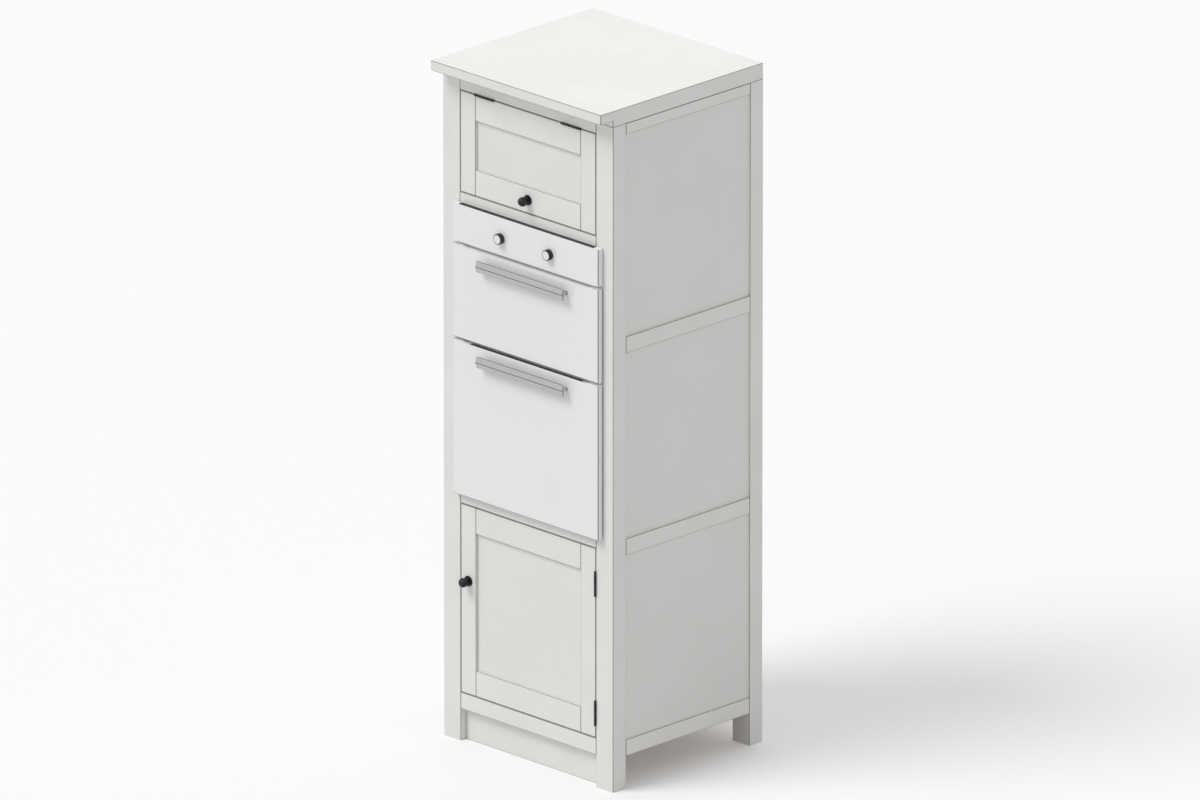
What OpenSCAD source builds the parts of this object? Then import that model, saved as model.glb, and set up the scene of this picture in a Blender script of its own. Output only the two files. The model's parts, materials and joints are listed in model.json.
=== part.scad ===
// Tall oven housing unit.
// A painted timber carcass of four square posts carries a lift-up cupboard at the top,
// a built-in double oven in the middle and a hinged cupboard at the bottom.
// Millimetres. +X is right, +Y is back, +Z is up. The origin lies on the floor, under the
// middle of the overall box.

/* [Carcass] */
// Width over the posts, and of the top slab
unit_w = 692; // [650:1:800]
// Depth from the front of the front posts to the back of the rear posts
carcass_d = 611; // [600:1:720]
// Width of a post, seen from the front
post_w = 69; // [60:1:90]
// Depth of a post, seen from the side
post_d = 53; // [45:1:70]
// Radius of the eased edges of the posts
post_ease = 2; // [1:0.5:5]
// Thickness of the front and rear rails
rail_t = 22; // [20:1:28]
// Thickness of the side rails
side_rail_t = 22; // [18:1:28]
// Height of the bottom rails and of the middle side rails
rail_h = 50; // [45:1:70]
// Height of the rails under the top slab
top_rail_h = 34; // [28:1:60]
// Height of the front rail under the oven
under_oven_rail_h = 38; // [34:1:60]
// Height of the front rail over the oven
over_oven_rail_h = 42; // [40:1:60]
// Distance of the lower side rail's top below the oven deck
side_rail_drop = 6; // [0:1:12]
// Height of the middle side panel
middle_panel_h = 566; // [450:1:640]
// Thickness of the side and back panels
panel_t = 9; // [6:1:12]
// Recess of the side and back panels behind the rails
panel_recess = 6; // [3:1:10]
// Thickness of the decks
deck_t = 20; // [16:1:22]
// Side of the square battens under the decks
batten = 20; // [15:1:22]

/* [Heights] */
// Height of the toe space under the bottom rails
plinth_h = 99; // [80:1:150]
// Height of the lower cupboard's door opening
cupboard_h = 583; // [450:1:700]
// Height of the oven niche
niche_h = 870; // [840:1:900]
// Height of the lift-up cupboard's door opening
flip_h = 312; // [280:1:420]

/* [Top slab and plinth] */
// Thickness of the top slab
slab_t = 49; // [40:1:60]
// Thickness of the slab's front nose
slab_nose_t = 30; // [20:1:38]
// Overhang of the slab's nose in front of the posts
slab_overhang = 50; // [30:1:60]
// Radius of the slab's upright edges
slab_ease = 3; // [1:0.5:8]
// Thickness of the plinth board
plinth_t = 18; // [15:1:22]
// Recess of the plinth board behind the front of the posts
plinth_recess = 21.5; // [10:0.5:21.5]
// Radius of the wall fixing holes in the rear top rail
wall_hole_r = 3; // [2:0.5:4]
// Distance between the two wall fixing holes
wall_hole_pitch = 400; // [200:10:460]

/* [Cupboard doors] */
// Thickness of the cupboard doors
door_t = 22; // [20:1:26]
// Gap round a cupboard door
door_gap = 2.6; // [2.6:0.1:4]
// Width of a door's stiles
stile_w = 60; // [50:1:80]
// Height of a door's rails
door_rail_h = 79; // [60:1:90]
// Recess of the door panel behind the door's face
door_panel_recess = 8; // [5:0.5:8]
// Thickness of the door panel
door_panel_t = 8; // [6:0.5:8]
// Depth of the grooves that hold the door panel
groove_d = 9; // [6:1:12]
// Expansion gap between the door panel and the bottom of its groove
panel_play = 1; // [0.5:0.5:2]
// Length of a butt hinge
hinge_l = 75; // [60:1:90]
// Distance of the flap's hinges from the sides of its opening
flip_hinge_inset = 63; // [30:1:90]
// Distance of the lower door's bottom hinge above its opening's sill
low_hinge_inset = 40; // [20:1:80]
// Distance of the lower door's top hinge below its opening's head
high_hinge_inset = 72; // [20:1:90]
// Radius of a hinge's barrel
barrel_r = 3.2; // [3:0.1:4]
// Thickness of a hinge's leaf
leaf_t = 1.2; // [1:0.1:1.2]
// Width of a hinge's leaf on the wood
leaf_w = 19; // [14:1:20]
// Radius of a hinge's pin
hinge_pin_r = 1.5; // [1.2:0.1:1.8]
// Number of knuckles of a hinge
knuckles = 3; // [3:2:7]
// Gap between neighbouring knuckles
knuckle_gap = 0.3; // [0.2:0.1:0.5]

/* [Cupboard knobs and shelf] */
// Radius of the ball of a cupboard knob
ball_r = 14; // [11:0.5:17]
// Projection of a cupboard knob in front of its door
knob_reach = 36; // [32:1:44]
// Radius of a knob's rosette
rosette_r = 15.5; // [12:0.5:18]
// Thickness of a knob's rosette
rosette_t = 3; // [2:0.5:4]
// Radius of a knob's neck
neck_r = 5; // [4:0.5:7]
// Radius of the screw that holds a knob
knob_screw_r = 2; // [1.5:0.5:2.5]
// Height of the lower door's knob above the opening's sill
cupboard_knob_z = 350; // [150:1:430]
// Thickness of the adjustable shelf
shelf_t = 18; // [15:1:22]
// Distance between the rows of shelf pin holes
pin_pitch = 64; // [32:1:80]
// Radius of the shelf pin holes
pin_hole_r = 2.5; // [2:0.5:3]
// Depth of the shelf pin holes
pin_hole_d = 10; // [8:1:14]

/* [Oven fronts] */
// Mean overlap of the oven's fronts on the two posts
front_overlap = 20.5; // [16:0.5:26]
// Offset of the oven's fronts to the right of the unit's middle
front_offset = 8; // [0:1:10]
// Distance of the lowest oven front below the oven deck
front_drop = 6; // [4:1:12]
// Distance of the control panel's top above the niche
front_rise = 12; // [6:1:24]
// Height of the control panel
control_h = 113; // [100:1:130]
// Height of the grill door
grill_door_h = 287; // [260:1:320]
// Gap between the control panel and the grill door
control_gap = 8; // [5:1:12]
// Gap between the two oven doors
oven_door_gap = 5; // [4:1:8]
// Thickness of the oven doors
oven_door_t = 15; // [14:0.5:18]
// Gap between the closed oven doors and the oven's front frame
door_back_gap = 3; // [2.5:0.5:4]
// Thickness of the enamelled sheet
sheet_t = 2; // [1.5:0.5:2]
// Radius of the upright edges of the oven fronts
front_edge_r = 4; // [2:0.5:5]
// Depth of the hollow along the top edge of an oven door
dip = 5; // [3:0.5:8]
// Distance of that hollow from the ends of the door
dip_inset = 33; // [20:1:60]
// Length of the slope at each end of that hollow
dip_ramp = 20; // [10:1:40]

/* [Oven handles and knobs] */
// Length of an oven handle
handle_l = 355; // [300:1:480]
// Height of an oven handle's section
handle_h = 35; // [28:1:40]
// Depth of an oven handle's section
handle_t = 12; // [8:1:14]
// Distance of an oven handle's front crease in front of the door
handle_reach = 27; // [24:1:45]
// Distance of an oven handle's top below the ends of the door's top edge
handle_drop = 23; // [15:1:40]
// Distance of a handle's posts from the handle's ends
handle_post_inset = 10; // [8:1:60]
// Radius of a handle's posts
handle_post_r = 6; // [4:0.5:8]
// Radius of a control knob
dial_r = 15.8; // [13:0.2:20]
// Depth of a control knob
dial_d = 15; // [10:1:20]
// Distance between the two control knobs
dial_pitch = 198; // [120:1:300]
// Height of the control knobs above the control panel's lower edge
dial_z = 51; // [35:1:70]
// Number of grooves round a control knob
dial_grooves = 30; // [20:2:40]
// Radius of a control knob's spindle
spindle_r = 3; // [2.5:0.5:4]
// Length of a control knob's spindle behind the knob
spindle_l = 22; // [16:1:26]
// Side of the square switch body behind a control knob
switch_side = 34; // [28:1:40]
// Depth of a switch body
switch_d = 30; // [28:1:36]

/* [Oven body] */
// Gap between the oven's casing and the posts
casing_gap = 3; // [2:1:6]
// Gap between the oven's casing and the rail above it
casing_top_gap = 4; // [2:1:10]
// Depth of the oven's casing
casing_d = 548; // [520:1:560]
// Lap of the oven's front frame on the posts
frame_lap = 12; // [8:1:15]
// Thickness of the oven's front frame
frame_t = 2; // [1.5:0.5:2]
// Width of the oven cavities
cavity_w = 444; // [400:1:450]
// Depth of the oven cavities
cavity_d = 420; // [380:1:440]
// Height of a cavity's mouth above its door's lower edge
mouth_low = 36; // [32:1:50]
// Distance of a cavity's mouth below its door's upper edge
mouth_high = 42; // [38:1:60]
// Radius of the corners of a cavity's mouth
mouth_r = 12; // [6:1:20]
// Distance between the runners in a cavity
runner_pitch = 75; // [60:1:90]
// Width of the ledge of a runner
runner_w = 8; // [6:1:10]
// Depth of the raised part of a door's inner panel
plug_d = 20; // [12:1:26]
// Clearance of that raised part in the cavity's mouth
plug_gap = 6; // [5:1:10]
// Radius of a rack's frame wire
rack_frame_r = 3; // [2:0.5:4]
// Radius of a rack's cross wires
rack_wire_r = 1.5; // [1:0.5:2]
// Number of cross wires of a rack
rack_wires = 13; // [7:1:17]
// Radius of the tube of the heating elements
element_r = 3.25; // [2.5:0.25:4]
// Radius of the fan
fan_r = 62; // [50:1:70]
// Number of fan blades
fan_blades = 10; // [6:1:14]

/* [Hidden] */
$fn = 64;

// Running clearance of a pin or spindle in its bore
running_gap = 0.05;
// Overshoot of a cut beyond the faces that it opens
cut = 1;

// Main planes
y_back = (carcass_d + slab_overhang) / 2;
y_front = y_back - carcass_d;
y_nose = y_front - slab_overhang;
y_side_front = y_front + post_d;
y_side_back = y_back - post_d;
x_side = unit_w / 2;
opening_w = unit_w - 2 * post_w;
side_opening = y_side_back - y_side_front;

// Levels, from the floor up
z_cupboard = plinth_h + rail_h;
z_under_oven = z_cupboard + cupboard_h;
z_niche = z_under_oven + under_oven_rail_h;
z_niche_top = z_niche + niche_h;
z_flip = z_niche_top + over_oven_rail_h;
z_top_rail = z_flip + flip_h;
z_slab = z_top_rail + top_rail_h;
z_lower_side_rail = z_niche - side_rail_drop - rail_h;
z_upper_side_rail = z_lower_side_rail + rail_h + middle_panel_h;

// Cupboard doors
door_w = opening_w - 2 * door_gap;
y_barrel = y_front - barrel_r - knuckle_gap;
leaf_gap = door_gap / 2 - leaf_t;
knuckle_l = (hinge_l - (knuckles - 1) * knuckle_gap) / knuckles;
flip_axis_z = z_top_rail - door_gap / 2;
cupboard_axis_x = opening_w / 2 - door_gap / 2;
flip_hinge_x = opening_w / 2 - flip_hinge_inset - hinge_l / 2;
low_hinge_z = z_cupboard + low_hinge_inset + hinge_l / 2;
high_hinge_z = z_under_oven - high_hinge_inset - hinge_l / 2;
flip_knob_z = z_flip + door_gap + door_rail_h / 2;
cupboard_knob_x = -door_w / 2 + stile_w / 2;

// Shelf in the lower cupboard
pin_x = opening_w / 2 + post_w / 2;
pin_collar_t = 1.5;
pin_collar_r = 5;
pin_peg_r = 3.5;
pin_peg_l = 12;
pin_rows = [-1, 0, 1];
pin_mid_z = z_cupboard + cupboard_h / 2;
pin_end_gap = 1;
shelf_play = 0.5;
shelf_end_play = 1.5;
shelf_z = pin_mid_z + pin_peg_r + running_gap;

// Oven fronts
front_w = opening_w + 2 * front_overlap;
front_left = front_offset - front_w / 2;
y_frame = y_front - frame_t;
y_door_back = y_frame - door_back_gap;
y_door = y_door_back - oven_door_t;
z_oven_door = z_niche - front_drop;
z_control_top = z_niche_top + front_rise;
z_control = z_control_top - control_h;
z_grill_door = z_control - control_gap - grill_door_h;
oven_door_h = z_grill_door - oven_door_gap - z_oven_door;
edge_low_r = 4;
edge_top_r = 2;

// Drop-down hinges of the oven doors
pivot_in = 8;
y_pivot = y_door + pivot_in;
eye_r = 4.5;
oven_pin_r = 2.5;
bracket_t = 3;
bracket_rise = 1;
bracket_arm_h = 12;
bracket_foot_h = 45;
bracket_foot_d = 25;
bracket_play = 0.5;
channel_gap = 1;
channel_t = 2;
channel_h = 70;
pin_head_r = 3.6;
pin_head_t = 1;
notch_play = 0.5;
notch_w = bracket_t + 2 * channel_gap + 2 * notch_play;

// Oven body
casing_w = opening_w - 2 * casing_gap;
casing_h = niche_h - casing_top_gap;
frame_w = opening_w + 2 * frame_lap;
frame_rise = 8;
frame_h = niche_h + frame_rise;
y_cavity_back = y_front + cavity_d;
x_bracket = (cavity_w + casing_w) / 4;
grill_mouth_z = z_grill_door + mouth_low;
grill_mouth_h = grill_door_h - mouth_low - mouth_high;
oven_mouth_z = z_oven_door + mouth_low;
oven_mouth_h = oven_door_h - mouth_low - mouth_high;
liner_lift = 4;
seal_w = 8;
seal_t = door_back_gap - 0.6;
control_margin = 8;
dial_gap = 0.5;
window_margin = 40;
window_top_gap = 10;
vent_l = 86;
vent_w = 3;
vent_web = 6;
vent_pitch = 5;
vent_front = 3;
vent_margin = 16;

// Inside the cavities
runner_t = 4;
runner_front = 30;
runner_back = 60;
grill_runners = [45];
oven_runners = [60, 60 + runner_pitch, 60 + 2 * runner_pitch, 60 + 3 * runner_pitch];
rack_play = 2;
rack_corner_r = 14;
rack_front_gap = 4;
rack_back_gap = 16;
rack_wire_margin = 30;
rack_wire_sink = 1;
baffle_w = 280;
baffle_h = 250;
baffle_d = 50;
baffle_r = 14;
rack_d = cavity_d - baffle_d - runner_front - rack_front_gap - rack_back_gap;
baffle_z = oven_mouth_z + oven_mouth_h / 2;
ring_r = 88;
ring_back_gap = 18;
fan_back_gap = 12;
shaft_r = 4;
element_bend_r = 16;
element_drop = 28;

// Colours
white_paint = [0.93, 0.93, 0.91];
panel_paint = [0.90, 0.90, 0.88];
timber = [0.80, 0.66, 0.46];
black_iron = [0.10, 0.10, 0.11];
white_enamel = [0.96, 0.96, 0.96];
bright_metal = [0.75, 0.76, 0.78];
zinc = [0.62, 0.63, 0.65];
dark_enamel = [0.20, 0.21, 0.24];
dark_rubber = [0.08, 0.08, 0.08];

// ---------------------------------------------------------------- helpers

// Rectangle with round corners, from the origin
module round_rect(size, r) {
    translate([r, 0])
        square([size.x - 2 * r, size.y]);
    translate([0, r])
        square([size.x, size.y - 2 * r]);
    for (x = [r, size.x - r], y = [r, size.y - r])
        translate([x, y])
            circle(r);
}

// Extrudes an outline drawn in Y and Z along +X
module along_x(length) {
    rotate([90, 0, 90])
        linear_extrude(length)
            children();
}

// Extrudes an outline drawn in X and Z along +Y
module along_y(length) {
    translate([0, length, 0])
        rotate([90, 0, 0])
            linear_extrude(length)
                children();
}

// Cylinder along +Y from the given point
module rod_y(r, length) {
    rotate([-90, 0, 0])
        cylinder(r = r, h = length);
}

// Cylinder along X, centred on the given point
module rod_x(r, length) {
    rotate([0, 90, 0])
        cylinder(r = r, h = length, center = true);
}

// A box that is centred in X only
module mid_box(size) {
    translate([-size.x / 2, 0, 0])
        cube(size);
}

// ---------------------------------------------------------------- carcass

module post(side, y) {
    x = side > 0 ? x_side - post_w : -x_side;
    hole_y = y < 0 ? y_side_front - pin_hole_d : y_side_back - cut;
    color(white_paint)
        difference() {
            translate([x, y, 0])
                linear_extrude(z_slab)
                    round_rect([post_w, post_d], post_ease);
            for (row = pin_rows)
                translate([side * pin_x, hole_y, pin_mid_z + row * pin_pitch])
                    rod_y(pin_hole_r, pin_hole_d + cut);
        }
}

module front_left_post() {
    post(-1, y_front);
}

module front_right_post() {
    post(1, y_front);
}

module rear_left_post() {
    post(-1, y_side_back);
}

module rear_right_post() {
    post(1, y_side_back);
}

// The slab's nose is thinner than the part that lies on the posts
module top_slab() {
    z_top = z_slab + slab_t;
    z_nose = z_top - slab_nose_t;
    color(white_paint)
        intersection() {
            translate([-x_side, 0, 0])
                along_x(unit_w)
                    polygon([
                        [y_nose, z_nose], [y_nose, z_top], [y_back, z_top],
                        [y_back, z_slab], [y_front, z_slab], [y_front, z_nose]
                    ]);
            translate([-x_side, y_nose, z_slab])
                linear_extrude(slab_t)
                    round_rect([unit_w, y_back - y_nose], slab_ease);
        }
}

module front_rail(z, h) {
    color(white_paint)
        translate([0, y_front, z])
            mid_box([opening_w, rail_t, h]);
}

module front_top_rail() {
    front_rail(z_top_rail, top_rail_h);
}

module over_oven_rail() {
    front_rail(z_niche_top, over_oven_rail_h);
}

module under_oven_rail() {
    front_rail(z_under_oven, under_oven_rail_h);
}

module front_bottom_rail() {
    front_rail(plinth_h, rail_h);
}

module side_rails(side) {
    x = side > 0 ? x_side - side_rail_t : -x_side;
    color(white_paint) {
        for (z = [plinth_h, z_lower_side_rail, z_upper_side_rail])
            translate([x, y_side_front, z])
                cube([side_rail_t, side_opening, rail_h]);
        translate([x, y_side_front, z_top_rail])
            cube([side_rail_t, side_opening, top_rail_h]);
    }
}

module left_side_rails() {
    side_rails(-1);
}

module right_side_rails() {
    side_rails(1);
}

// Each side panel fills the space between two rails
module side_panels(side) {
    outer = x_side - panel_recess;
    x = side > 0 ? outer - panel_t : -outer;
    spans = [
        [z_cupboard, z_lower_side_rail],
        [z_lower_side_rail + rail_h, z_upper_side_rail],
        [z_upper_side_rail + rail_h, z_top_rail]
    ];
    color(panel_paint)
        for (span = spans)
            translate([x, y_side_front, span[0]])
                cube([panel_t, side_opening, span[1] - span[0]]);
}

module left_side_panels() {
    side_panels(-1);
}

module right_side_panels() {
    side_panels(1);
}

// The top rear rail has the two holes that tie the unit to a wall
module rear_rails() {
    y = y_back - rail_t;
    color(white_paint) {
        for (z = [plinth_h, z_lower_side_rail])
            translate([0, y, z])
                mid_box([opening_w, rail_t, rail_h]);
        translate([0, y, z_niche_top])
            mid_box([opening_w, rail_t, over_oven_rail_h]);
        difference() {
            translate([0, y, z_top_rail])
                mid_box([opening_w, rail_t, top_rail_h]);
            for (side = [-1, 1])
                translate([side * wall_hole_pitch / 2, y - cut, z_top_rail + top_rail_h / 2])
                    rod_y(wall_hole_r, rail_t + 2 * cut);
        }
    }
}

// The oven's bay stays open at the back, for air and for the supply
module back_panels() {
    y = y_back - panel_recess - panel_t;
    color(panel_paint)
        for (span = [[z_cupboard, z_lower_side_rail], [z_flip, z_top_rail]])
            translate([0, y, span[0]])
                mid_box([opening_w, panel_t, span[1] - span[0]]);
}

module plinth_board() {
    color(white_paint)
        translate([0, y_front + plinth_recess, 0])
            mid_box([opening_w, plinth_t, plinth_h]);
}

// A deck reaches between the posts to the front and rear rails, and between the side walls
module deck(z_top, half_w) {
    y0 = y_front + rail_t;
    color(timber)
        translate([0, 0, z_top - deck_t])
            linear_extrude(deck_t) {
                translate([-opening_w / 2, y0])
                    square([opening_w, y_back - rail_t - y0]);
                translate([-half_w, y_side_front])
                    square([2 * half_w, side_opening]);
            }
}

module flip_cupboard_deck() {
    deck(z_flip, x_side - panel_recess - panel_t);
}

module oven_deck() {
    deck(z_niche, x_side - side_rail_t);
}

module bottom_deck() {
    deck(z_cupboard, x_side - side_rail_t);
}

// Two battens under each deck, fixed to the side walls
module deck_battens() {
    rows = [
        [z_cupboard, x_side - side_rail_t],
        [z_niche, x_side - side_rail_t],
        [z_flip, x_side - panel_recess - panel_t]
    ];
    color(timber)
        for (row = rows, side = [-1, 1])
            translate([
                side > 0 ? row[1] - batten : -row[1],
                y_side_front,
                row[0] - deck_t - batten
            ])
                cube([batten, side_opening, batten]);
}

module cupboard_shelf() {
    play = pin_collar_t + shelf_play;
    half_w = x_side - panel_recess - panel_t - shelf_end_play;
    color(timber)
        translate([-half_w, y_side_front + play, shelf_z])
            cube([2 * half_w, side_opening - 2 * play, shelf_t]);
}

// One shelf pin, its collar on the plane y = 0 and its peg towards +Y
module shelf_pin() {
    translate([0, pin_end_gap - pin_hole_d, 0])
        rod_y(pin_hole_r - running_gap, pin_hole_d - pin_end_gap + cut);
    rod_y(pin_collar_r, pin_collar_t);
    rod_y(pin_peg_r, pin_peg_l);
}

module shelf_pins() {
    color(zinc)
        for (side = [-1, 1]) {
            translate([side * pin_x, y_side_front, pin_mid_z])
                shelf_pin();
            translate([side * pin_x, y_side_back, pin_mid_z])
                mirror([0, 1, 0])
                    shelf_pin();
        }
}

// ---------------------------------------------------------------- butt hinges

// Start of knuckle i along a hinge that is centred on the origin
function knuckle_x(i) = -hinge_l / 2 + i * (knuckle_l + knuckle_gap);

// One leaf of a butt hinge. Its barrel lies along X on the origin and the leaf runs to +Y.
// The frame's leaf lies above the barrel's axis and has the odd knuckles.
module hinge_leaf(on_frame) {
    reach = barrel_r + knuckle_gap + leaf_w;
    own = on_frame ? 0 : 1;
    slot = barrel_r + knuckle_gap;
    difference() {
        union() {
            translate([-hinge_l / 2, 0, on_frame ? leaf_gap : -leaf_gap - leaf_t])
                cube([hinge_l, reach, leaf_t]);
            for (i = [own:2:knuckles - 1])
                translate([knuckle_x(i) + knuckle_l / 2, 0, 0])
                    rod_x(barrel_r, knuckle_l);
        }
        rod_x(hinge_pin_r + running_gap, hinge_l + 2 * cut);
        for (i = [1 - own:2:knuckles - 1])
            translate([knuckle_x(i) - knuckle_gap, -slot, -slot])
                cube([knuckle_l + 2 * knuckle_gap, 2 * slot, 2 * slot]);
    }
}

// The pin runs through all knuckles and has a round head at each end
module hinge_pin() {
    head_t = 1;
    rod_x(hinge_pin_r, hinge_l + 2 * head_t);
    for (side = [-1, 1])
        translate([side * (hinge_l / 2 + head_t / 2), 0, 0])
            rod_x(barrel_r, head_t);
}

// Places a hinge at both hinge places of the flap
module at_flip_hinges() {
    for (side = [-1, 1])
        translate([side * flip_hinge_x, y_barrel, flip_axis_z])
            children();
}

// Places a hinge at both hinge places of the lower door
module at_cupboard_hinges() {
    for (z = [low_hinge_z, high_hinge_z])
        translate([cupboard_axis_x, y_barrel, z])
            rotate([0, 90, 0])
                children();
}

module hinge_frame_leaves() {
    color(black_iron) {
        at_flip_hinges()
            hinge_leaf(true);
        at_cupboard_hinges()
            hinge_leaf(true);
    }
}

module hinge_pins() {
    color(black_iron) {
        at_flip_hinges()
            hinge_pin();
        at_cupboard_hinges()
            hinge_pin();
    }
}

module flip_door_hinge_leaves() {
    color(black_iron)
        at_flip_hinges()
            hinge_leaf(false);
}

module cupboard_door_hinge_leaves() {
    color(black_iron)
        at_cupboard_hinges()
            hinge_leaf(false);
}

// ---------------------------------------------------------------- cupboard doors

// Two upright stiles, grooved on their inner edges, for an opening of height h at level z
module door_stiles(z, h) {
    length = h - 2 * door_gap;
    for (side = [0, 1])
        mirror([side, 0, 0])
            translate([door_w / 2 - stile_w, y_front, z + door_gap])
                linear_extrude(length)
                    difference() {
                        square([stile_w, door_t]);
                        translate([-cut, door_panel_recess])
                            square([groove_d + cut, door_panel_t]);
                    }
}

// A door rail with a tongue at each end. Its groove is on the upper edge.
module door_rail() {
    length = door_w - 2 * stile_w;
    translate([-length / 2, 0, 0])
        along_x(length)
            difference() {
                square([door_t, door_rail_h]);
                translate([door_panel_recess, door_rail_h - groove_d])
                    square([door_panel_t, groove_d + cut]);
            }
    translate([0, door_panel_recess, 0])
        mid_box([length + 2 * groove_d, door_panel_t, door_rail_h - groove_d]);
}

module door_rails(z, h) {
    translate([0, y_front, z + door_gap])
        door_rail();
    translate([0, y_front, z + h - door_gap])
        mirror([0, 0, 1])
            door_rail();
}

// The panel floats in the grooves of the stiles and rails
module door_panel(z, h) {
    lap = groove_d - panel_play;
    w = door_w - 2 * stile_w + 2 * lap;
    panel_h = h - 2 * door_gap - 2 * door_rail_h + 2 * lap;
    color(panel_paint)
        translate([0, y_front + door_panel_recess, z + door_gap + door_rail_h - lap])
            mid_box([w, door_panel_t, panel_h]);
}

// Hole for a knob's screw, through a door at the given place
module knob_hole(x, z) {
    screw_play = 0.2;
    translate([x, y_front - cut, z])
        rod_y(knob_screw_r + screw_play, door_t + 2 * cut);
}

// Turned knob on a rosette, with the screw that holds it from inside the door. It is drawn
// along its axis, with the door's face at zero, and then laid along +Y.
module door_knob(x, z) {
    head_t = 2.5;
    head_r = 4.5;
    ball_z = ball_r - knob_reach;
    color(black_iron)
        translate([x, y_front, z])
            rotate([-90, 0, 0]) {
                translate([0, 0, ball_z])
                    sphere(ball_r);
                translate([0, 0, ball_z])
                    cylinder(r = neck_r, h = -ball_z - rosette_t / 2);
                translate([0, 0, -rosette_t])
                    cylinder(r = rosette_r, h = rosette_t);
                translate([0, 0, -rosette_t / 2])
                    cylinder(r = knob_screw_r, h = door_t + rosette_t / 2 + head_t / 2);
                translate([0, 0, door_t])
                    cylinder(r = head_r, h = head_t);
            }
}

module flip_door_stiles() {
    color(white_paint)
        door_stiles(z_flip, flip_h);
}

module flip_door_rails() {
    color(white_paint)
        difference() {
            door_rails(z_flip, flip_h);
            knob_hole(0, flip_knob_z);
        }
}

module flip_door_panel() {
    door_panel(z_flip, flip_h);
}

module flip_door_knob() {
    door_knob(0, flip_knob_z);
}

module cupboard_door_stiles() {
    color(white_paint)
        difference() {
            door_stiles(z_cupboard, cupboard_h);
            knob_hole(cupboard_knob_x, z_cupboard + cupboard_knob_z);
        }
}

module cupboard_door_rails() {
    color(white_paint)
        door_rails(z_cupboard, cupboard_h);
}

module cupboard_door_panel() {
    door_panel(z_cupboard, cupboard_h);
}

module cupboard_door_knob() {
    door_knob(cupboard_knob_x, z_cupboard + cupboard_knob_z);
}

// ---------------------------------------------------------------- oven body

// Outer sheet-metal box, open at the front, with rows of vent slots high in its back
module oven_casing() {
    slots = 12;
    slot_pitch = 34;
    slot_w = 6;
    slot_h = 40;
    slot_drop = 50;
    slot_z = z_niche + casing_h - slot_drop - slot_h;
    color(zinc)
        difference() {
            translate([0, y_front, z_niche])
                mid_box([casing_w, casing_d, casing_h]);
            translate([0, y_front - cut, z_niche + sheet_t])
                mid_box([
                    casing_w - 2 * sheet_t,
                    casing_d - sheet_t + cut,
                    casing_h - 2 * sheet_t
                ]);
            for (i = [0:slots - 1])
                translate([
                    (i - (slots - 1) / 2) * slot_pitch,
                    y_front + casing_d - sheet_t - cut,
                    slot_z
                ])
                    mid_box([slot_w, sheet_t + 2 * cut, slot_h]);
        }
}

// The outline of a cavity's mouth, grown by the given margin
module mouth(z, h, margin) {
    translate([-cavity_w / 2 - margin, z - margin])
        round_rect([cavity_w + 2 * margin, h + 2 * margin], mouth_r + margin);
}

// Front frame: it laps on the posts and has both mouths, a window behind the control panel
// and four slots for the hinge brackets
module oven_front_frame() {
    window_z = z_control + control_margin;
    window_w = dial_pitch + 2 * window_margin;
    slot_w = bracket_t + 2 * bracket_play;
    slot_h = bracket_arm_h + 2 * bracket_play;
    color(white_enamel)
        translate([0, y_frame, 0])
            along_y(frame_t)
                difference() {
                    translate([-frame_w / 2, z_niche])
                        square([frame_w, frame_h]);
                    mouth(grill_mouth_z, grill_mouth_h, 0);
                    mouth(oven_mouth_z, oven_mouth_h, 0);
                    translate([front_offset - window_w / 2, window_z])
                        square([window_w, z_niche_top - window_top_gap - window_z]);
                    for (side = [-1, 1], z = [z_grill_door, z_oven_door])
                        translate([
                            side * x_bracket - slot_w / 2,
                            z + pivot_in + bracket_rise - bracket_play
                        ])
                            square([slot_w, slot_h]);
                }
}

// An enamelled cavity, open at the front, with ledges for the racks and a bore for the fan
module cavity(z, h, ledges) {
    ledge_l = cavity_d - runner_front - runner_back;
    color(dark_enamel) {
        difference() {
            translate([0, y_front, 0])
                along_y(cavity_d + sheet_t)
                    mouth(z, h, sheet_t);
            translate([0, y_front - cut, 0])
                along_y(cavity_d + cut)
                    mouth(z, h, 0);
            children();
        }
        for (side = [0, 1], ledge = ledges)
            mirror([side, 0, 0])
                translate([
                    cavity_w / 2 - runner_w,
                    y_front + runner_front,
                    z + ledge
                ])
                    cube([runner_w + sheet_t / 2, ledge_l, runner_t]);
    }
}

module grill_cavity() {
    cavity(grill_mouth_z, grill_mouth_h, grill_runners);
}

module oven_cavity() {
    cavity(oven_mouth_z, oven_mouth_h, oven_runners)
        translate([0, y_cavity_back - cut, baffle_z])
            rod_y(shaft_r + running_gap, sheet_t + 2 * cut);
}

// A flat seal round each mouth, on the front frame
module door_seals() {
    lip = 2;
    color(dark_rubber)
        translate([0, y_frame - seal_t, 0])
            along_y(seal_t)
                for (m = [[grill_mouth_z, grill_mouth_h], [oven_mouth_z, oven_mouth_h]])
                    difference() {
                        mouth(m[0], m[1], lip + seal_w);
                        mouth(m[0], m[1], lip);
                    }
}

// Rows of vent slots through the top flange of a front, over a width and up to a level
module vent_slots(width, rows, z) {
    count = floor((width - 2 * vent_margin + vent_web) / (vent_l + vent_web));
    for (i = [0:count - 1], row = [0:rows - 1])
        translate([
            front_offset + (i - (count - 1) / 2) * (vent_l + vent_web),
            y_door + vent_front + row * vent_pitch,
            z - sheet_t - cut
        ])
            mid_box([vent_l, vent_w, sheet_t + 2 * cut]);
}

// Place of the left (-1) or right (1) control knob
function dial_x(side) = front_offset + side * dial_pitch / 2;

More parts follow.
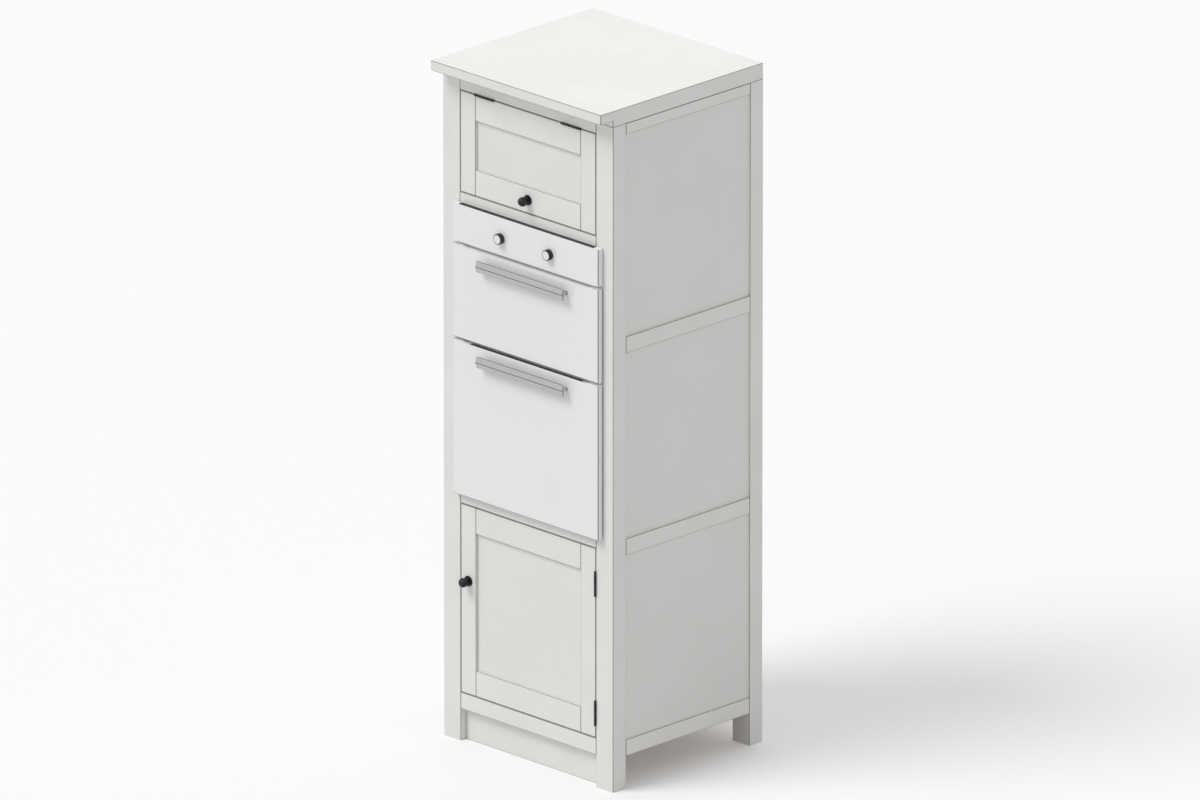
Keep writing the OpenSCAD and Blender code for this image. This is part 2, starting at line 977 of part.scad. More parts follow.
// Control panel: an enamelled tray with vent slots in its top and holes for the spindles
module control_panel() {
    depth = y_frame - y_door;
    spindle_play = 1;
    color(white_enamel)
        difference() {
            translate([front_left, 0, z_control])
                linear_extrude(control_h)
                    front_outline(depth);
            translate([front_offset, y_door + sheet_t, z_control + sheet_t])
                mid_box([
                    front_w - 2 * sheet_t,
                    depth - sheet_t + cut,
                    control_h - 2 * sheet_t
                ]);
            vent_slots(front_w, 3, z_control_top);
            for (side = [-1, 1])
                translate([dial_x(side), y_door - cut, z_control + dial_z])
                    rod_y(spindle_r + spindle_play, sheet_t + 2 * cut);
        }
}

// The switch bodies behind the control panel, bored for the spindles
module control_switches() {
    end_gap = 2;
    bore_d = spindle_l - dial_gap - sheet_t + end_gap;
    color(dark_rubber)
        for (side = [-1, 1])
            translate([dial_x(side), y_door + sheet_t, z_control + dial_z])
                difference() {
                    translate([0, 0, -switch_side / 2])
                        mid_box([switch_side, switch_d, switch_side]);
                    translate([0, -cut, 0])
                        rod_y(spindle_r + running_gap, bore_d + cut);
                }
}

// A control knob with a grooved rim and its spindle
module control_knob(side) {
    groove_r = 0.9;
    face_rim = 1.2;
    face_t = 1.5;
    face_rise = 1;
    translate([dial_x(side), y_door - dial_gap, z_control + dial_z]) {
        color(white_enamel)
            translate([0, -dial_d, 0])
                rod_y(dial_r - face_rim, face_t);
        color(black_iron)
            translate([0, face_rise - dial_d, 0])
                difference() {
                    rod_y(dial_r, dial_d - face_rise);
                    for (i = [0:dial_grooves - 1])
                        rotate([0, i * 360 / dial_grooves, 0])
                            translate([dial_r, -cut, 0])
                                rod_y(groove_r, dial_d + cut);
                }
        color(zinc)
            translate([0, -cut, 0])
                rod_y(spindle_r, spindle_l + cut);
    }
}

module grill_control_knob() {
    control_knob(-1);
}

module oven_control_knob() {
    control_knob(1);
}

// ---------------------------------------------------------------- oven doors

// Plan outline of an oven front, with round front corners
module front_outline(depth) {
    r = front_edge_r;
    translate([0, y_door]) {
        translate([r, 0])
            square([front_w - 2 * r, depth]);
        translate([0, r])
            square([front_w, depth - r]);
        for (x = [r, front_w - r])
            translate([x, r])
                circle(r);
    }
}

// Side outline of an oven door: the lower edges are round, so that they turn past the frame
module door_side_outline(h) {
    low = edge_low_r;
    top = edge_top_r;
    translate([0, low])
        square([oven_door_t, h - low - top]);
    translate([low, 0])
        square([oven_door_t - 2 * low, low]);
    translate([top, h - top])
        square([oven_door_t - top, top]);
    for (y = [low, oven_door_t - low])
        translate([y, low])
            circle(low);
    translate([top, h - top])
        circle(top);
}

// Pressed front of a drop-down door: a tray whose top edge dips in the middle.
// What follows it is cut out of it.
module oven_door_tray(z, h) {
    half = front_w / 2;
    color(white_enamel)
        difference() {
            intersection() {
                translate([front_left, 0, z])
                    linear_extrude(h)
                        front_outline(oven_door_t);
                translate([front_left, y_door, z])
                    along_x(front_w)
                        door_side_outline(h);
            }
            translate([front_offset, y_door - cut, z])
                along_y(oven_door_t + 2 * cut)
                    polygon([
                        [-half + dip_inset, h + cut],
                        [-half + dip_inset, h],
                        [-half + dip_inset + dip_ramp, h - dip],
                        [half - dip_inset - dip_ramp, h - dip],
                        [half - dip_inset, h],
                        [half - dip_inset, h + cut]
                    ]);
            translate([front_offset, y_door + sheet_t, z + sheet_t])
                mid_box([
                    front_w - 2 * sheet_t,
                    oven_door_t - sheet_t + cut,
                    h - dip - 2 * sheet_t
                ]);
            for (side = [-1, 1])
                translate([side * x_bracket, y_door + sheet_t, z - cut])
                    mid_box([notch_w, oven_door_t, sheet_t + 2 * cut]);
            children();
        }
}

// Inner panel of a drop-down door: a plate with a hollow raised part that enters the mouth
module oven_door_inner(z, h, mouth_z, mouth_h) {
    notch_h = pivot_in + bracket_rise + bracket_arm_h + 2 * notch_play;
    plate_h = h - dip - sheet_t - liner_lift;
    color(bright_metal)
        difference() {
            union() {
                translate([front_offset, y_door_back - sheet_t, z + liner_lift])
                    mid_box([front_w - 2 * sheet_t, sheet_t, plate_h]);
                translate([0, y_door_back - sheet_t, 0])
                    along_y(plug_d + sheet_t)
                        mouth(mouth_z, mouth_h, -plug_gap);
            }
            translate([0, y_door_back - sheet_t - cut, 0])
                along_y(plug_d + cut)
                    mouth(mouth_z, mouth_h, -plug_gap - sheet_t);
            for (side = [-1, 1])
                translate([side * x_bracket, y_door_back - sheet_t - cut, z])
                    mid_box([notch_w, sheet_t + 2 * cut, notch_h]);
        }
}

// Steel channels inside a door: their cheeks hold the pivot pins
module door_channels(z) {
    inner = bracket_t + 2 * channel_gap;
    outer = inner + 2 * channel_t;
    depth = oven_door_t - 2 * sheet_t;
    web_z = pivot_in + eye_r + channel_gap;
    color(zinc)
        for (side = [-1, 1])
            translate([side * x_bracket, y_door + sheet_t, z]) {
                difference() {
                    translate([0, 0, sheet_t])
                        mid_box([outer, depth, channel_h - sheet_t]);
                    translate([0, channel_t, sheet_t - cut])
                        mid_box([inner, depth, channel_h + 2 * cut]);
                    translate([0, -cut, sheet_t - cut])
                        mid_box([inner, depth, web_z - sheet_t + cut]);
                    translate([0, pivot_in - sheet_t, pivot_in])
                        rod_x(oven_pin_r + running_gap, outer + 2 * cut);
                }
            }
}

// The pivot pins run through the channels' cheeks and the brackets' eyes
module door_pins(z) {
    length = bracket_t + 2 * channel_gap + 2 * channel_t;
    color(zinc)
        for (side = [-1, 1])
            translate([side * x_bracket, y_pivot, z + pivot_in]) {
                rod_x(oven_pin_r, length + 2 * pin_head_t);
                for (end = [-1, 1])
                    translate([end * (length + pin_head_t) / 2, 0, 0])
                        rod_x(pin_head_r, pin_head_t);
            }
}

// The brackets stand on the oven's front frame and carry the pins of both doors
module oven_hinge_brackets() {
    color(zinc)
        for (side = [-1, 1], z = [z_grill_door, z_oven_door])
            translate([side * x_bracket - bracket_t / 2, y_pivot, z + pivot_in])
                along_x(bracket_t)
                    difference() {
                        union() {
                            circle(eye_r);
                            translate([0, bracket_rise])
                                square([y_front - y_pivot + bracket_foot_d, bracket_arm_h]);
                            translate([y_front - y_pivot, bracket_rise])
                                square([bracket_foot_d, bracket_foot_h]);
                        }
                        circle(oven_pin_r + running_gap);
                    }
}

// Handle bar with a faceted section, creased along the middle of its front, on two posts
module bar_handle(z, h) {
    bar_y = y_door - handle_reach + handle_t / 2;
    bar_z = z + h - handle_drop - handle_h / 2;
    tip = 1;
    color(bright_metal) {
        translate([front_offset - handle_l / 2, bar_y, bar_z])
            along_x(handle_l)
                polygon([
                    [-handle_t / 2, 0], [-tip, handle_h / 2], [tip, handle_h / 2],
                    [handle_t / 2, 0], [tip, -handle_h / 2], [-tip, -handle_h / 2]
                ]);
        for (side = [-1, 1])
            translate([
                front_offset + side * (handle_l / 2 - handle_post_inset),
                bar_y,
                bar_z
            ])
                rod_y(handle_post_r, y_door - bar_y);
    }
}

module grill_door_front() {
    oven_door_tray(z_grill_door, grill_door_h);
}

module grill_door_liner() {
    oven_door_inner(z_grill_door, grill_door_h, grill_mouth_z, grill_mouth_h);
}

module grill_door_hinges() {
    door_channels(z_grill_door);
}

module grill_door_pins() {
    door_pins(z_grill_door);
}

module grill_door_handle() {
    bar_handle(z_grill_door, grill_door_h);
}

module oven_door_front() {
    flat_w = front_w - 2 * (dip_inset + dip_ramp);
    oven_door_tray(z_oven_door, oven_door_h)
        vent_slots(flat_w, 2, z_oven_door + oven_door_h - dip);
}

module oven_door_liner() {
    oven_door_inner(z_oven_door, oven_door_h, oven_mouth_z, oven_mouth_h);
}

module oven_door_hinges() {
    door_channels(z_oven_door);
}

module oven_door_pins() {
    door_pins(z_oven_door);
}

module oven_door_handle() {
    bar_handle(z_oven_door, oven_door_h);
}

// ---------------------------------------------------------------- inside the oven

// Quarter bend of a tube round a corner of radius r, in the XY plane
module bend(r, tube_r, angle) {
    rotate_extrude(angle = angle)
        translate([r, 0])
            circle(tube_r);
}

// Return bend between two runs of an element, towards +Y
module u_turn(pitch) {
    r = element_bend_r;
    translate([pitch / 2 - r, 0, 0])
        bend(r, element_r, 90);
    translate([r - pitch / 2, 0, 0])
        rotate([0, 0, 90])
            bend(r, element_r, 90);
    translate([0, r, 0])
        rod_x(element_r, pitch - 2 * r);
}

// Serpentine element under the roof of the grill cavity, carried by a plate on its back wall
module grill_element() {
    runs = 6;
    pitch = 60;
    run_l = 230;
    tail_l = 60;
    plate_w = 340;
    plate_h = 24;
    plate_t = 1.5;
    y0 = y_cavity_back - tail_l - run_l;
    z0 = grill_mouth_z + grill_mouth_h - element_drop;
    x0 = -pitch * (runs - 1) / 2;
    color(black_iron) {
        translate([0, y0, z0])
            for (i = [0:runs - 1]) {
                last = i == 0 || i == runs - 1;
                translate([x0 + i * pitch, 0, 0])
                    rod_y(element_r, last ? run_l + tail_l - plate_t / 2 : run_l);
            }
        for (i = [0:runs - 2])
            translate([x0 + (i + 0.5) * pitch, i % 2 == 0 ? y0 : y0 + run_l, z0])
                rotate([0, 0, i % 2 == 0 ? 180 : 0])
                    u_turn(pitch);
        translate([0, y_cavity_back - plate_t, z0 - plate_h / 2])
            mid_box([plate_w, plate_t, plate_h]);
    }
}

// Ring element round the fan, on two tails from the back wall
module ring_element() {
    ring_y = y_cavity_back - ring_back_gap;
    tail_step = 0.75;
    tail_r = element_r - tail_step;
    tail_angle = 12;
    color(black_iron)
        translate([0, ring_y, baffle_z]) {
            rotate([90, 0, 0])
                for (quarter = [0:3])
                    rotate([0, 0, quarter * 90 + 45])
                        bend(ring_r, element_r, 90);
            for (side = [-1, 1])
                rotate([0, side * tail_angle, 0])
                    translate([0, 0, ring_r])
                        rod_y(tail_r, y_cavity_back - ring_y);
        }
}

// Fan on its shaft, behind the baffle
module oven_fan() {
    blade_w = 18;
    blade_l = 30;
    blade_t = 1.2;
    hub_r = 12;
    disc_t = 1.5;
    tip_gap = 1;
    disc_y = y_cavity_back - fan_back_gap;
    shaft_l = 30;
    color(bright_metal)
        translate([0, disc_y, baffle_z]) {
            rod_y(fan_r, disc_t);
            translate([0, -blade_w, 0])
                rod_y(hub_r, blade_w + disc_t);
            for (i = [0:fan_blades - 1])
                rotate([0, i * 360 / fan_blades, 0])
                    translate([fan_r - blade_l - tip_gap, -blade_w, 0])
                        cube([blade_l, blade_w + disc_t / 2, blade_t]);
            rod_y(shaft_r, shaft_l);
        }
}

// Baffle in front of the fan: intake slots in rings, and outlets along its sides
module fan_baffle() {
    skin = 1.2;
    rings = [[18, 8, 7], [30, 12, 9], [42, 18, 9]];
    slot_w = 4.5;
    outlets = 6;
    outlet_pitch = 36;
    color(dark_enamel)
        translate([0, y_cavity_back - baffle_d, baffle_z])
            difference() {
                translate([-baffle_w / 2, 0, -baffle_h / 2])
                    along_y(baffle_d)
                        round_rect([baffle_w, baffle_h], baffle_r);
                translate([skin - baffle_w / 2, skin, skin - baffle_h / 2])
                    along_y(baffle_d)
                        round_rect([baffle_w - 2 * skin, baffle_h - 2 * skin], baffle_r - skin);
                for (ring = rings, i = [0:ring[1] - 1])
                    rotate([0, i * 360 / ring[1], 0])
                        translate([ring[0], -cut, 0])
                            translate([0, 0, -slot_w / 2])
                                cube([ring[2], skin + 2 * cut, slot_w]);
                for (i = [0:outlets - 1], side = [-1, 1])
                    translate([
                        side * baffle_w / 2,
                        baffle_d / 2,
                        (i - (outlets - 1) / 2) * outlet_pitch
                    ])
                        cube([4 * skin, baffle_d / 3, outlet_pitch / 2], center = true);
            }
}

// Wire rack that rests on a pair of ledges: a frame with round corners and cross wires on it
module wire_rack(z) {
    w = cavity_w - 2 * rack_play;
    r = rack_corner_r;
    x_mid = w / 2 - rack_frame_r;
    y0 = y_front + runner_front + rack_front_gap;
    y1 = y0 + rack_d;
    wire_z = rack_frame_r + rack_wire_r - rack_wire_sink;
    pitch = (w - 2 * rack_wire_margin) / (rack_wires - 1);
    translate([0, 0, z + rack_frame_r + running_gap]) {
        for (side = [-1, 1])
            translate([side * x_mid, y0 + r, 0])
                rod_y(rack_frame_r, rack_d - 2 * r);
        for (y = [y0, y1])
            translate([0, y, 0])
                rod_x(rack_frame_r, 2 * (x_mid - r));
        for (corner = [[1, y1, 0], [-1, y1, 90], [-1, y0, 180], [1, y0, 270]])
            translate([corner[0] * (x_mid - r), corner[1] + (corner[1] == y0 ? r : -r), 0])
                rotate([0, 0, corner[2]])
                    bend(r, rack_frame_r, 90);
        for (i = [0:rack_wires - 1])
            translate([(i - (rack_wires - 1) / 2) * pitch, y0, wire_z])
                rod_y(rack_wire_r, rack_d);
    }
}

module grill_rack() {
    color(bright_metal)
        wire_rack(grill_mouth_z + grill_runners[0] + runner_t);
}

module oven_racks() {
    color(bright_metal)
        for (i = [0, 2])
            wire_rack(oven_mouth_z + oven_runners[i] + runner_t);
}

// ---------------------------------------------------------------- output

front_left_post();
front_right_post();
rear_left_post();
rear_right_post();
top_slab();
front_top_rail();
over_oven_rail();
under_oven_rail();
front_bottom_rail();
left_side_rails();
right_side_rails();
left_side_panels();
right_side_panels();
rear_rails();
back_panels();
plinth_board();
flip_cupboard_deck();
oven_deck();
bottom_deck();
deck_battens();
cupboard_shelf();
shelf_pins();
hinge_frame_leaves();
hinge_pins();
flip_door_stiles();
flip_door_rails();
flip_door_panel();
flip_door_knob();
flip_door_hinge_leaves();
cupboard_door_stiles();
cupboard_door_rails();
cupboard_door_panel();
cupboard_door_knob();
cupboard_door_hinge_leaves();
oven_casing();
oven_front_frame();
grill_cavity();
oven_cavity();
door_seals();
control_panel();
control_switches();
grill_control_knob();
oven_control_knob();
oven_hinge_brackets();
grill_door_front();
grill_door_liner();
grill_door_hinges();
grill_door_pins();
grill_door_handle();
oven_door_front();
oven_door_liner();
oven_door_hinges();
oven_door_pins();
oven_door_handle();
grill_element();
ring_element();
oven_fan();
fan_baffle();
grill_rack();
oven_racks();
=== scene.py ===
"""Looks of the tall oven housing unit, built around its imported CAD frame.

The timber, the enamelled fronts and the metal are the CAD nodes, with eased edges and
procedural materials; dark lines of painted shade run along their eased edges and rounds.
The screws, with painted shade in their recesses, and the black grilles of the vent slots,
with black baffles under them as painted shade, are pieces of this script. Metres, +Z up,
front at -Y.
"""

import json
import math

import bmesh
import bpy
from mathutils import Matrix, Vector

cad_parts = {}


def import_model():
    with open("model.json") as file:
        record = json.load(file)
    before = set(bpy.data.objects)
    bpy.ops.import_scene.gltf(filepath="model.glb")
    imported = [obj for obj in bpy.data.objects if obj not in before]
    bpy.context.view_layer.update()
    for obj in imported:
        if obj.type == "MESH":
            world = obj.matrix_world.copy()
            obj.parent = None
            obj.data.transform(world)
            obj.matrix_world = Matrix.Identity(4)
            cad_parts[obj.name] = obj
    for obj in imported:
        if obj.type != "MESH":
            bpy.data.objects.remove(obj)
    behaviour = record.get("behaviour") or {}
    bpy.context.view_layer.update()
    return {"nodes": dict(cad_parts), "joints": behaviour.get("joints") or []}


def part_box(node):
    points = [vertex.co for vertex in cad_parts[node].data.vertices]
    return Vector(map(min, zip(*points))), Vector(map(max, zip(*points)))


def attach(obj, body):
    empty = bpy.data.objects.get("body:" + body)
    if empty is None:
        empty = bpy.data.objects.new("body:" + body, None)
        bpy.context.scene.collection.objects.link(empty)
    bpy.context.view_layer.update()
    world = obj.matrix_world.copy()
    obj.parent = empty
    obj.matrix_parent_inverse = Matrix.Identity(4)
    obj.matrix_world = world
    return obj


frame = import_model()

MM = 0.001

# Camera: the drawing is a parallel view, so a long lens stands far away. Angles are in
# degrees, the lens and its sensor in millimetres, and VIEW_WIDTH is what it sees at its target
CAMERA_AZIMUTH = 45.0
CAMERA_ELEVATION = 19.47
CAMERA_TARGET = (0.0061, 0.0061, 1.0446)
CAMERA_LENS = 1000.0
CAMERA_SENSOR = 36.0
VIEW_WIDTH = 3.463
CAMERA_CLIP_END = 220.0

# Light: one key sun from the front left, a broad weak one from behind, and an even world
# that shows the camera a paler backdrop
WORLD_LEVEL = 0.56
BACKDROP_LEVEL = 0.96
KEY_STRENGTH = 1.40
KEY_SOFTNESS = 28.0
KEY_FROM = (-0.27, -0.54, 0.80)
FILL_STRENGTH = 0.35
FILL_SOFTNESS = 70.0
FILL_FROM = (-0.35, 0.75, 0.56)

# Floor: the grey that lights the unit from below, the grey that the camera sees, and a glow
# that brings that up to the backdrop
FLOOR_SIDE = 60.0
FLOOR_BOUNCE = 0.68
FLOOR_SEEN = 0.82
FLOOR_GLOW = 0.16

# Painted shade: dark grey lines on the timber's eased edges and rounds, and near black lines on the
# rounds of the enamelled fronts; also the spots where paint is rubbed through, which are wear
EDGE_SHADE_LINE = (0.24, 0.23, 0.215)
EDGE_RUBBED = (0.18, 0.14, 0.10)
EDGE_RUBBED_SHARE = 0.5
# Near black painted shade on the rounds of the enamelled fronts, and how much of it is mixed in
ENAMEL_ROUND_SHADE = (0.16, 0.165, 0.175)
ENAMEL_ROUND_SHADE_SHARE = 0.8

# A surface is wholly part of a round where the largest part of its normal is below the first
# value, and not at all above the second. That part is 0.71 in the middle of a round, and 1 on
# a face that is square to an axis
TURN_MIDDLE = 0.93
TURN_END = 0.97

# Widths of the eased edges, and the number of faces across them
POST_EASE = 0.5 * MM
TIMBER_EASE = 1.4 * MM
DECK_EASE = 0.8 * MM
HANDLE_EASE = 1.0 * MM
GRILLE_EASE = 0.12 * MM
EASE_STEPS = 2

# Edges are eased where their faces turn by more than this, in degrees. The crease along a
# handle's front turns by 32 degrees
SHARP_TURN = 40.0
CREASE_TURN = 25.0

# Before that, points this close are joined, and faces that turn by less than this angle
WELD_REACH = 0.02 * MM
FLAT_TURN = 0.5

# Nearly all values of a noise lie between these two
NOISE_RANGE = (0.3, 0.7)

# Brushed metals: the axis of their scratches, two colours, and the range of their roughness
BRUSHED_METALS = {
    "satin_steel": ("x", (0.44, 0.44, 0.45), (0.55, 0.55, 0.56), 0.26, 0.40),
    # The near black one is painted shade along the handles' crease and eased edges
    "steel_edge_shade": ("x", (0.05, 0.05, 0.055), (0.08, 0.08, 0.085), 0.36, 0.48),
    "fan_steel": ("z", (0.60, 0.60, 0.61), (0.72, 0.72, 0.73), 0.26, 0.40),
    "liner_steel": ("x", (0.60, 0.60, 0.61), (0.70, 0.70, 0.70), 0.24, 0.38),
}
BLACK_SCREW = ((0.10, 0.10, 0.105), (0.16, 0.16, 0.165))
ZINC_SCREW = ((0.52, 0.52, 0.54), (0.66, 0.66, 0.67))

# Shape of a screw head, in shares of its radius and of its height: the rim's radius and
# height, the flat top's radius, the cross at its mouth and at its bottom (reach and half
# width), and the cross's depth
SCREW_SIDES = 28
SCREW_RIM_R = 0.97
SCREW_RIM_HEIGHT = 0.55
SCREW_TOP_R = 0.80
SCREW_MOUTH = (0.58, 0.13)
SCREW_BOTTOM = (0.50, 0.10)
SCREW_DEPTH = 0.7
# Each screw of a set is turned on by this angle, in degrees
SCREW_TURN = 37.0

# Butt hinges, as the CAD has them: a leaf's inner face lies off the joint's axis by the gap.
# The screws' inset is measured from the front of the doors
HINGE_LENGTH = 75 * MM
HINGE_LEAF_GAP = 0.1 * MM
HINGE_SCREW_PITCH = 26 * MM
HINGE_SCREW_INSET = 10 * MM
HINGE_SCREW_STAGGER = 4 * MM
HINGE_SCREW_PROUD = 0.06 * MM
HINGE_SCREW_R = 3.1 * MM

# Screws of the oven. Their levels are shares of the front frame's height
FRAME_SCREW_R = 3.6 * MM
FRAME_SCREW_PROUD = 1.4 * MM
FRAME_SCREW_INSET = 6 * MM
FRAME_SCREW_LEVELS = (0.04, 0.36, 0.68, 0.97)
BAFFLE_SCREW_R = 4.2 * MM
BAFFLE_SCREW_PROUD = 1.6 * MM
BAFFLE_SCREW_INSET = 13 * MM

# A control knob's face: how far back its white reaches, and the black rim that it leaves.
# The two blurs are how softly the white ends, across the face and behind it
KNOB_FACE_RISE = 0.9 * MM
KNOB_RIM = 2.8 * MM
KNOB_RIM_BLUR = 0.1 * MM
KNOB_RISE_BLUR = 0.02 * MM

# Vent slots in the top flanges of the oven's fronts, as the CAD has them. The last two are
# the numbers of slots along and across a flange
SHEET = 2 * MM
DOOR_DIP = 5 * MM
VENT_LENGTH = 86 * MM
VENT_WIDTH = 3 * MM
VENT_WEB = 6 * MM
VENT_PITCH = 5 * MM
VENT_FRONT = 3 * MM
PANEL_VENTS = (6, 3)
DOOR_VENTS = (5, 2)

# The black grille that clips into the slots, and under them a pleated black sheet of painted shade
# that hides the white inside
GRILLE_T = 0.8 * MM
GRILLE_BORDER = 0.8 * MM
LIP_GAP = 0.05 * MM
LIP_T = 0.4 * MM
LIP_DEPTH = 2.1 * MM
SHADE_BAFFLE_PLEAT = 5 * MM
SHADE_BAFFLE_DEPTH = 3.5 * MM
SHADE_BAFFLE_SKIN = 0.4 * MM
SHADE_BAFFLE_DROP = 0.4 * MM
SHADE_BAFFLE_GAP = 0.2 * MM


# ---------------------------------------------------------------- node helpers

class Shader:
    """A material's node tree with short calls for the nodes used here."""

    def __init__(self, name):
        self.material = bpy.data.materials.new(name)
        self.material.use_nodes = True
        self.nodes = self.material.node_tree.nodes
        self.links = self.material.node_tree.links
        self.bsdf = self.nodes["Principled BSDF"]
        texture = self.nodes.new("ShaderNodeTexCoord")
        self.coords = texture.outputs["Object"]
        self.normal = texture.outputs["Normal"]

    def set(self, **values):
        """Constants of the Principled shader, by socket name with _ for a space."""
        for key, value in values.items():
            self.bsdf.inputs[key.replace("_", " ")].default_value = value

    def put(self, socket, value):
        """Links an output to an input, or sets a plain value on it."""
        if isinstance(value, bpy.types.NodeSocket):
            self.links.new(value, socket)
        else:
            socket.default_value = value

    def scaled(self, scale):
        """The point's coordinates times one scale, or times a scale for each axis."""
        node = self.nodes.new("ShaderNodeMapping")
        node.inputs["Scale"].default_value = scale if isinstance(scale, tuple) else (scale,) * 3
        self.links.new(self.coords, node.inputs["Vector"])
        return node.outputs["Vector"]

    def noise(self, scale, detail=3.0, roughness=0.55, distortion=0.0):
        """Noise from 0 to 1, with a number of cells per metre or one for each axis."""
        node = self.nodes.new("ShaderNodeTexNoise")
        node.inputs["Scale"].default_value = 1.0
        node.inputs["Detail"].default_value = detail
        node.inputs["Roughness"].default_value = roughness
        node.inputs["Distortion"].default_value = distortion
        self.links.new(self.scaled(scale), node.inputs["Vector"])
        return node.outputs["Fac"]

    def cells(self, scale, output="Distance"):
        """Irregular cells: the distance to a cell's middle, or a colour for each cell ("Color")."""
        node = self.nodes.new("ShaderNodeTexVoronoi")
        node.inputs["Scale"].default_value = 1.0
        self.links.new(self.scaled(scale), node.inputs["Vector"])
        return node.outputs[output]

    def math(self, operation, a, b=0.0):
        """One step of arithmetic on outputs or plain numbers."""
        node = self.nodes.new("ShaderNodeMath")
        node.operation = operation
        for socket, value in zip(node.inputs, (a, b)):
            self.put(socket, value)
        return node.outputs[0]

    def spread(self, value, low, high, to_low=0.0, to_high=1.0):
        """Maps low..high of a value to to_low..to_high, held at both ends."""
        node = self.nodes.new("ShaderNodeMapRange")
        self.put(node.inputs["Value"], value)
        for key, number in (
            ("From Min", low), ("From Max", high), ("To Min", to_low), ("To Max", to_high)
        ):
            node.inputs[key].default_value = number
        return node.outputs["Result"]

    def ramp(self, value, stops):
        """Colour ramp with stops of (position, (r, g, b))."""
        node = self.nodes.new("ShaderNodeValToRGB")
        self.put(node.inputs["Fac"], value)
        elements = node.color_ramp.elements
        while len(elements) < len(stops):
            elements.new(0.5)
        for element, (position, colour) in zip(elements, stops):
            element.position = position
            element.color = (*colour, 1.0)
        return node.outputs["Color"]

    def mottle(self, pattern, first, second, between=NOISE_RANGE):
        """Goes from the first colour to the second as a pattern crosses a range."""
        low, high = between
        return self.ramp(pattern, [(low, first), (high, second)])

    def mix(self, factor, a, b):
        """Colour a where factor is 0 and colour b where it is 1."""
        node = self.nodes.new("ShaderNodeMix")
        node.data_type = "RGBA"
        self.put(node.inputs["Factor"], factor)
        colours = [s for s in node.inputs if s.type == "RGBA"]
        for socket, value in zip(colours, (a, b)):
            self.put(socket, (*value, 1.0) if isinstance(value, tuple) else value)
        return next(s for s in node.outputs if s.type == "RGBA")

    def axis(self, index, vector=None):
        """One coordinate of the point, in metres, or of a vector: 0 is X, 1 is Y, 2 is Z."""
        node = self.nodes.new("ShaderNodeSeparateXYZ")
        self.links.new(vector or self.coords, node.inputs[0])
        return node.outputs[index]

    def turning(self):
        """0 on faces square to an axis, and 1 where a round turns between two of them."""
        x, y, z = [self.math("ABSOLUTE", self.axis(i, self.normal)) for i in range(3)]
        flat = self.math("MAXIMUM", self.math("MAXIMUM", x, y), z)
        return self.spread(flat, TURN_MIDDLE, TURN_END, 1.0, 0.0)

    def relief(self, height, depth, strength=1.0):
        """Bump from a 0..1 height, over a depth in metres, on top of any bump before it."""
        node = self.nodes.new("ShaderNodeBump")
        node.inputs["Strength"].default_value = strength
        node.inputs["Distance"].default_value = depth
        self.links.new(height, node.inputs["Height"])
        normal = self.bsdf.inputs["Normal"]
        if normal.is_linked:
            self.links.new(normal.links[0].from_socket, node.inputs["Normal"])
        self.links.new(node.outputs["Normal"], normal)

    def colour(self, value):
        """Base colour, from an output."""
        self.links.new(value, self.bsdf.inputs["Base Color"])

    def rough(self, pattern, smooth, dull, between=NOISE_RANGE):
        """Roughness that goes from smooth to dull as a pattern crosses a range."""
        low, high = between
        result = self.spread(pattern, low, high, smooth, dull)
        self.links.new(result, self.bsdf.inputs["Roughness"])


def along(axis, lengthwise, across):
    """Scale factors of a pattern that runs along one axis."""
    scale = [across] * 3
    scale["xyz".index(axis)] = lengthwise
    return tuple(scale)


# ---------------------------------------------------------------- materials

def rubbed_and_shaded_paint(s):
    """How rubbed the paint of an edge is, and its colour: a dark painted shade line with spots of
    real rubbed wear.
    """
    rub = s.noise(42.0, detail=5.0, roughness=0.7)
    spots = s.spread(rub, 0.60, 0.68)
    return rub, s.mix(s.math("MULTIPLY", spots, EDGE_RUBBED_SHARE), EDGE_SHADE_LINE, EDGE_RUBBED)


def painted_timber(name, axis):
    """Satin white paint on solid timber: faint grain and brush marks, and dark painted shade lines
    on the rounds.
    """
    s = Shader(name)
    grain = s.noise(along(axis, 4.0, 130.0), detail=5.0, distortion=0.4)
    brush = s.noise(along(axis, 9.0, 620.0), detail=2.0)
    cloud = s.noise(5.5, detail=3.0)
    tone = s.mottle(cloud, (0.820, 0.814, 0.794), (0.860, 0.855, 0.836))
    pores = s.spread(grain, 0.60, 0.74)
    face = s.mix(s.math("MULTIPLY", pores, 0.16), tone, (0.72, 0.70, 0.66))
    _, edge = rubbed_and_shaded_paint(s)
    # The rounds take the edge colour: dark painted shade lines, with rubbed spots of wear
    s.colour(s.mix(s.turning(), face, edge))
    s.rough(s.noise(60.0), 0.36, 0.50)
    s.relief(grain, 0.45 * MM, 0.6)
    s.relief(brush, 0.18 * MM, 0.6)
    return s.material


def worn_and_shaded_edge(name):
    """The paint on eased edges: a dark grey painted shade line, matte, with small rubbed spots of
    real wear.
    """
    s = Shader(name)
    s.set(Specular_IOR_Level=0.15)
    rub, colour = rubbed_and_shaded_paint(s)
    s.colour(colour)
    s.rough(rub, 0.66, 0.82)
    s.relief(s.noise(300.0), 0.08 * MM, 0.5)
    return s.material


def painted_board():
    """Sprayed white paint on smooth board: fine orange peel, no grain."""
    s = Shader("painted_board")
    cloud = s.noise(3.5, detail=3.0)
    s.colour(s.mottle(cloud, (0.810, 0.804, 0.784), (0.845, 0.840, 0.822)))
    s.rough(s.noise(45.0), 0.40, 0.52)
    s.relief(s.noise(420.0, detail=2.0), 0.06 * MM, 0.5)
    return s.material


